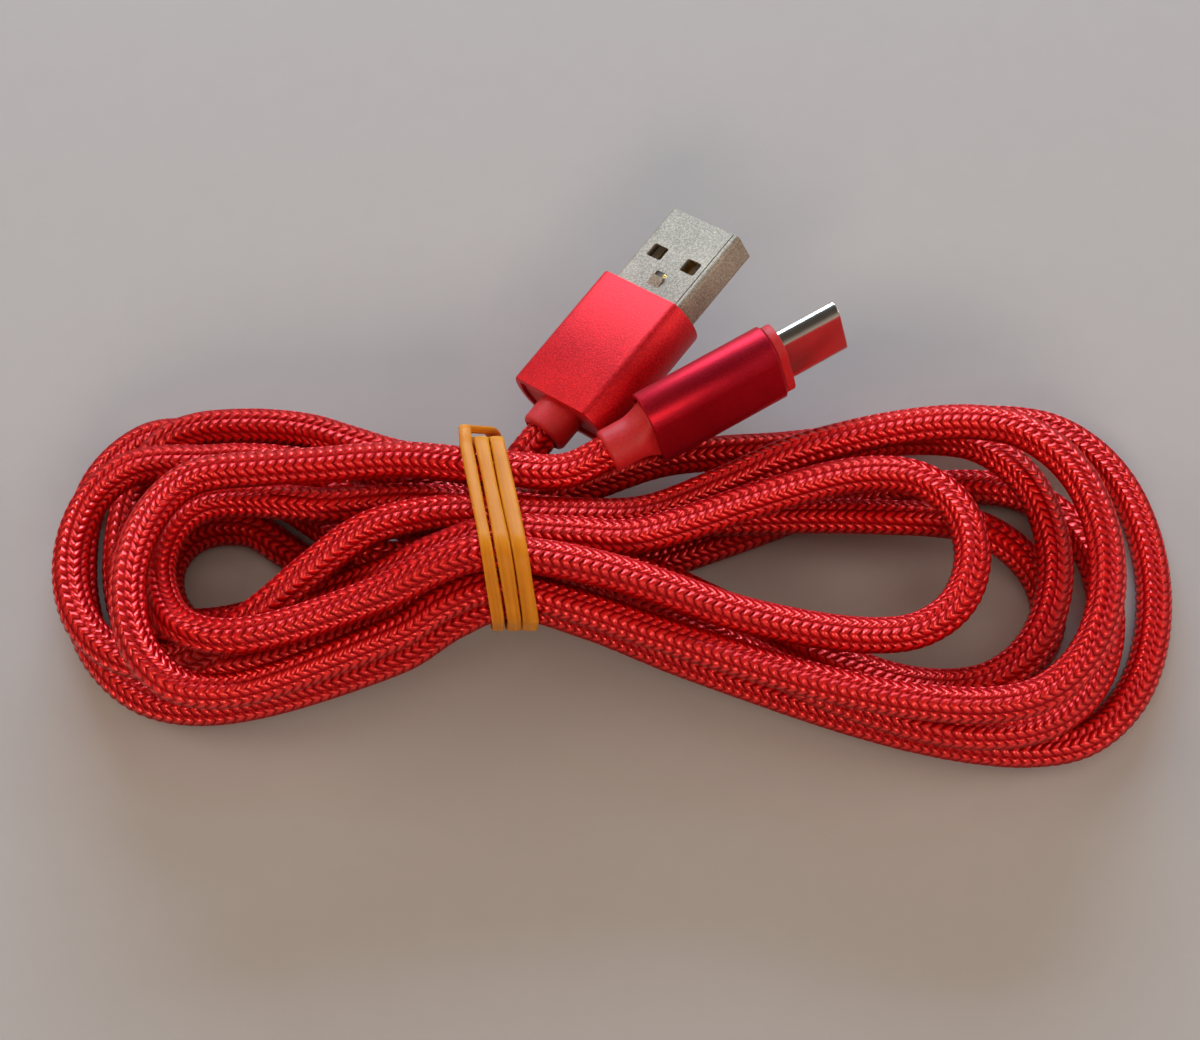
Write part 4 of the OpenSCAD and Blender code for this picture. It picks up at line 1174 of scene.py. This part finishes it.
@dataclass
class PlugC(Plug):
    """The small plug: oval housing, collar, shell, flared strain relief, and what is inside."""

    housing_l: float = 18.0
    housing_w: float = 11.5
    housing_h: float = 6.2
    wall: float = 0.6
    front_wall: float = 1.0
    chamfer: float = 0.45
    bevel: float = 0.18
    collar_l: float = 1.2
    collar_step: float = 0.4
    collar_edge: float = 0.22
    spigot: float = 1.0
    shell_w: float = 8.34
    shell_h: float = 2.56
    sheet: float = 0.25
    shell_out: float = 8.3
    shell_in: float = 5.0
    relief_d: float = 5.6
    relief_l: float = 6.2
    flare_w: float = 8.8
    flare_l: float = 2.9
    hollow: float = 2.2
    kept: ClassVar[dict[str, str]] = {
        "c_insulator": "insulator", "c_contacts_upper": "contact", "c_contacts_lower": "contact",
        "c_latch": "spring", "c_core": "core", "c_board": "board", "c_chip": "chip",
        "c_resistor": "chip", "c_wires": "wire", "c_ferrule": "ferrule", "c_cord_end": "jacket"}

    def body(self, less: float = 0.0) -> Array:
        """Outline of the housing, drawn in by less on every side."""
        return oval_outline(self.housing_w, self.housing_h, less)

    def tube(self, less: float = 0.0) -> Array:
        """Outline of the shell, drawn in by less on every side."""
        return oval_outline(self.shell_w, self.shell_h, less)

    def housing(self) -> bpy.types.Object:
        """Oval sleeve with a chamfered front edge and a front wall round the collar's spigot.

        Returns:
            The piece.
        """
        l, edge, ease, c = self.housing_l, self.bevel, self.bevel * 0.3, self.chamfer
        hole, inside, soft = self.tube(-self.spigot), self.body(self.wall), 0.04
        return self.lofted("c_housing_sleeve", [
            (-self.front_wall, hole), (0.0, hole), (0.0, self.body(c)), (-c * 0.75, self.body(soft)),
            (-c, self.body()), (-l + edge, self.body()), (-l + ease, self.body(ease)),
            (-l, self.body(edge)), (-l, inside), (-self.front_wall, inside)], joined=True, crease=28.0)

    def collar(self) -> bpy.types.Object:
        """Thin oval ring between housing and shell, with rounded edges, and its spigot.

        Returns:
            The piece.
        """
        l, edge, ease = self.collar_l, self.collar_edge, self.collar_edge * 0.3
        step, lip, gap = self.collar_step, 0.05, 0.02
        hole, spigot = self.tube(-gap), self.tube(lip - self.spigot)
        return self.lofted("c_collar_ring", [
            (-self.front_wall, hole), (l - lip, hole), (l, inset(hole, -lip)), (l, self.body(step + edge)),
            (l - ease, self.body(step + ease)), (l - edge, self.body(step)), (gap, self.body(step)),
            (gap, spigot), (-self.front_wall, spigot)], joined=True, crease=40.0)

    def shell(self) -> bpy.types.Object:
        """Drawn steel shell: an oval tube whose front lip is rolled to a half circle.

        Returns:
            The piece.
        """
        bend = self.sheet / 2
        tip = self.collar_l + self.shell_out - bend
        lip = [(tip + bend * math.sin(v), self.tube(bend * (1 + math.cos(v))))
               for v in np.radians(np.arange(0, 181, 22.5))]
        return self.lofted("c_shell_drawn", [
            (-self.shell_in, self.tube(self.sheet)), *lip, (-self.shell_in, self.tube())],
            joined=True, crease=50.0)

    def relief(self) -> bpy.types.Object:
        """Strain relief that draws in from an oval to the cord in a hollow curve: its width and
        height fall off as a power, a little over two, of what is left of the flare.

        Returns:
            The piece.
        """
        l, d, mouth = self.housing_l, self.relief_d, self.cord_d + self.mouth_gap
        side_gap, top_gap, plate_front, recess, flare_steps = 1.5, 0.2, 3.0, 0.3, 9
        plate_w, plate_h = self.housing_w - side_gap, self.housing_h - 2 * self.wall - top_gap
        flare_h, rear = plate_h - 0.3, -l - self.relief_l
        ease_at = rear + 0.7
        plate = oval_outline(plate_w, plate_h)
        stations = [(-l + plate_front, plate), (-l + recess + 0.1, plate),
                    (-l + recess, oval_outline(plate_w - 0.2, plate_h - 0.1)),
                    (-l + recess - 0.02, oval_outline(self.flare_w, flare_h))]
        for s in np.linspace(0.0, 1.0, flare_steps):
            left = (1.0 - s) ** self.hollow
            outline = oval_outline(d + (self.flare_w - d) * left + 0.001, d + (flare_h - d) * left)
            stations.append((-l - self.flare_l * s, outline))
        stations += [(ease_at, near_round(d)), *rounded_end(ease_at, 0.5, d, 0.8, near_round),
                     (rear + 0.15, oval_outline(mouth + 0.06, mouth + 0.05)),
                     *self.mouth(rear, near_round(mouth))]
        return self.lofted("c_relief_flare", stations, crease=40.0)

    def pieces(self) -> list[tuple[bpy.types.Object, str, str, str]]:
        """Makes the plug's own pieces.

        Returns:
            Each piece with its node, its slot and its finish.
        """
        return [(self.housing(), "c_housing", "housing", "housing_satin"),
                (self.collar(), "c_collar", "relief", "relief"),
                (self.shell(), "c_shell", "steel", "steel_polished"),
                (self.relief(), "c_relief", "relief", "relief")]


# ---------------------------------------------------------------- studio


@dataclass(frozen=True)
class Lamp:
    """A soft lamp that faces the middle of the cable: metres, watts, and whether gloss shows it."""

    name: str
    at: Place
    size: tuple[float, float]
    watts: float
    colour: Colour = (1.0, 0.8, 0.64)
    glossy: bool = True


@dataclass
class Studio:
    """Camera, floor, lamps and world.

    Lengths are in millimetres, apart from the camera's clip and the lamps. The room's strength
    goes from its first value, up to the first height, to its second, from the second height on.
    """

    waist: Array
    elevation: float = 68.0
    distance: float = 330.0
    target: Place = (13.0, 3.0, 6.0)
    pixels_a_mm: float = 7.9
    picture_w: float = 1200.0
    sensor: float = 36.0
    clip: tuple[float, float] = (0.01, 20.0)
    floor_reach: float = 1500.0
    floor_drop: float = 0.02
    paper: tuple[Colour, Colour] = ((0.38, 0.372, 0.37), (0.4, 0.392, 0.39))
    room: Colour = (1.0, 0.82, 0.68)
    room_heights: tuple[float, float] = (0.15, 0.75)
    room_strengths: tuple[float, float] = (0.34, 0.06)
    lamps: tuple[Lamp, ...] = (
        Lamp("window", (-0.05, 0.75, 0.3), (0.7, 0.3), 9.2, (0.62, 0.79, 0.98)),
        Lamp("front", (0.1, -1.1, 0.75), (0.66, 0.37), 6.6),
        Lamp("left", (-1.1, 0.2, 0.6), (0.6, 0.5), 4.5),
        Lamp("right", (1.1, 0.1, 0.5), (0.6, 0.5), 3.5, (1.0, 0.88, 0.8)),
        Lamp("ceiling", (0.1, -0.1, 1.3), (1.4, 1.4), 6.4, glossy=False))

    def put(self, name: str, data: bpy.types.ID, axes: tuple[Array, Array, Array],
            at: Array) -> bpy.types.Object:
        """Puts a camera or a lamp in the scene.

        Args:
            name: Its name.
            data: The camera or the light.
            axes: Directions to its right, up and behind it.
            at: Its place in metres.

        Returns:
            The object.
        """
        made = bpy.data.objects.new(name, data)
        matrix = np.eye(4)
        matrix[:3] = np.stack([*axes, at], axis=1)
        made.matrix_world = Matrix(matrix.tolist())
        bpy.context.scene.collection.objects.link(made)
        return made

    def camera(self) -> None:
        """Camera that looks down on the hank from its front, at an elevation, from a distance."""
        e = math.radians(self.elevation)
        up, back = np.array([0.0, math.sin(e), math.cos(e)]), np.array([0.0, -math.cos(e), math.sin(e)])
        data = bpy.data.cameras.new("camera")
        data.sensor_width = self.sensor
        data.lens = self.pixels_a_mm * self.distance / self.picture_w * self.sensor
        data.clip_start, data.clip_end = self.clip
        at = (np.array(self.target) + back * self.distance + self.waist) * MM
        bpy.context.scene.camera = self.put("camera", data, (np.array([1.0, 0.0, 0.0]), up, back), at)

    def floor(self) -> None:
        """Plain pale floor of paper: one large square just under the cable."""
        reach = self.floor_reach
        corners = np.array([[[x, y, -self.floor_drop] for x in (-reach, reach)] for y in (-reach, reach)])
        piece = MeshMaker("floor", self.waist).add(Patch(corners, columns_closed=False)).make()
        g = Surface("paper_floor")
        where = g.node("TexCoord").outputs["Object"]
        pulp = g.node("TexNoise", Vector=where, Scale=260.0, Detail=4.0).outputs["Fac"]
        g.wear(Base_Color=g.mix(pulp, *self.paper), Roughness=0.85, Normal=g.raised(pulp, 0.0002, 0.12))
        piece.data.materials.append(g.material)

    def light(self) -> None:
        """Low cool window behind the cable, low warm lamps on the other sides, a ceiling that only
        lights, and a room that is brighter near the horizon than overhead."""
        for lamp in self.lamps:
            data = bpy.data.lights.new(lamp.name, "AREA")
            data.shape = "RECTANGLE"
            data.size, data.size_y = lamp.size
            data.energy, data.color = lamp.watts, lamp.colour
            back = unit(np.array(lamp.at))
            right = unit(np.cross([0.0, 0.0, 1.0], back))
            made = self.put(lamp.name, data, (right, np.cross(back, right), back), np.array(lamp.at))
            made.visible_glossy = lamp.glossy
        world = bpy.data.worlds.new("room")
        world.use_nodes = True
        g = Graph(world.node_tree)
        height = g.node("SeparateXYZ", Vector=g.node("TexCoord").outputs["Generated"]).outputs[2]
        shade = world.node_tree.nodes["Background"]
        shade.inputs["Color"].default_value = (*self.room, 1.0)
        g.feed(shade.inputs["Strength"], g.spread(height, *self.room_heights, *self.room_strengths))
        bpy.context.scene.world = world
        bpy.context.scene.view_settings.view_transform = "Standard"


# ---------------------------------------------------------------- the whole cable


@dataclass
class ChargingCable:
    """The cable: its layout, its cord, its band and its two plugs."""

    waist: Array = field(default_factory=lambda: np.array([-14.97, -7.66, 0.0]))
    place_a: PlugPlace = PlugPlace((19.6, 30.3, 12.3), 51.4, 5.0, -25.0)
    place_c: PlugPlace = PlugPlace((34.7, 19.83, 17.5), 29.0, 5.0, 72.0)
    hank: Hank = field(default_factory=Hank)

    def build(self, shop: Workshop) -> list[bpy.types.Object]:
        """Args:
            shop: The finishes.

        Returns:
            The pieces and the solids that stay.
        """
        plug_a, plug_c = PlugA(self.place_a, self.waist), PlugC(self.place_c, self.waist)
        back_a, back_c = plug_a.housing_l + plug_a.relief_l, plug_c.housing_l + plug_c.relief_l
        hank = self.hank.route()
        lead_a = self.hank.lead(self.place_a, back_a, hank[0])
        lead_c = self.hank.lead(self.place_c, back_c, hank[-1])
        route = np.concatenate([lead_a[:-1], hank, lead_c[-2::-1]])
        cord = Cord(route, -self.place_a.way(), self.place_c.way(), self.waist)
        braid = shop.stand_in(cord.build(), ("cord_hank", "cord_lead_a", "cord_lead_c"), "braid")
        ribbon = Band(np.concatenate([hank, lead_a, lead_c]), self.waist).build()
        band = shop.stand_in(ribbon, ("rubber_band",), "band")
        pieces_a, pieces_c = plug_a.build(shop), plug_c.build(shop)
        exit_at = (np.array(self.place_a.at) - back_a * self.place_a.way() + self.waist) * MM
        LOG.info("the cord is %.0f mm long", cord.length)
        return [braid, band, *pieces_a, *pieces_c]


def main() -> None:
    """Sets the studio, builds the cable and reports its pieces."""
    logging.basicConfig(level=logging.INFO, format="%(name)s: %(message)s")
    cable = ChargingCable()
    studio = Studio(cable.waist)
    studio.camera()
    for piece in cable.build(Workshop()):
        LOG.info("piece %s: %d faces", piece.name, len(piece.data.polygons))
    studio.floor()
    studio.light()


if __name__ == "__main__":
    main()
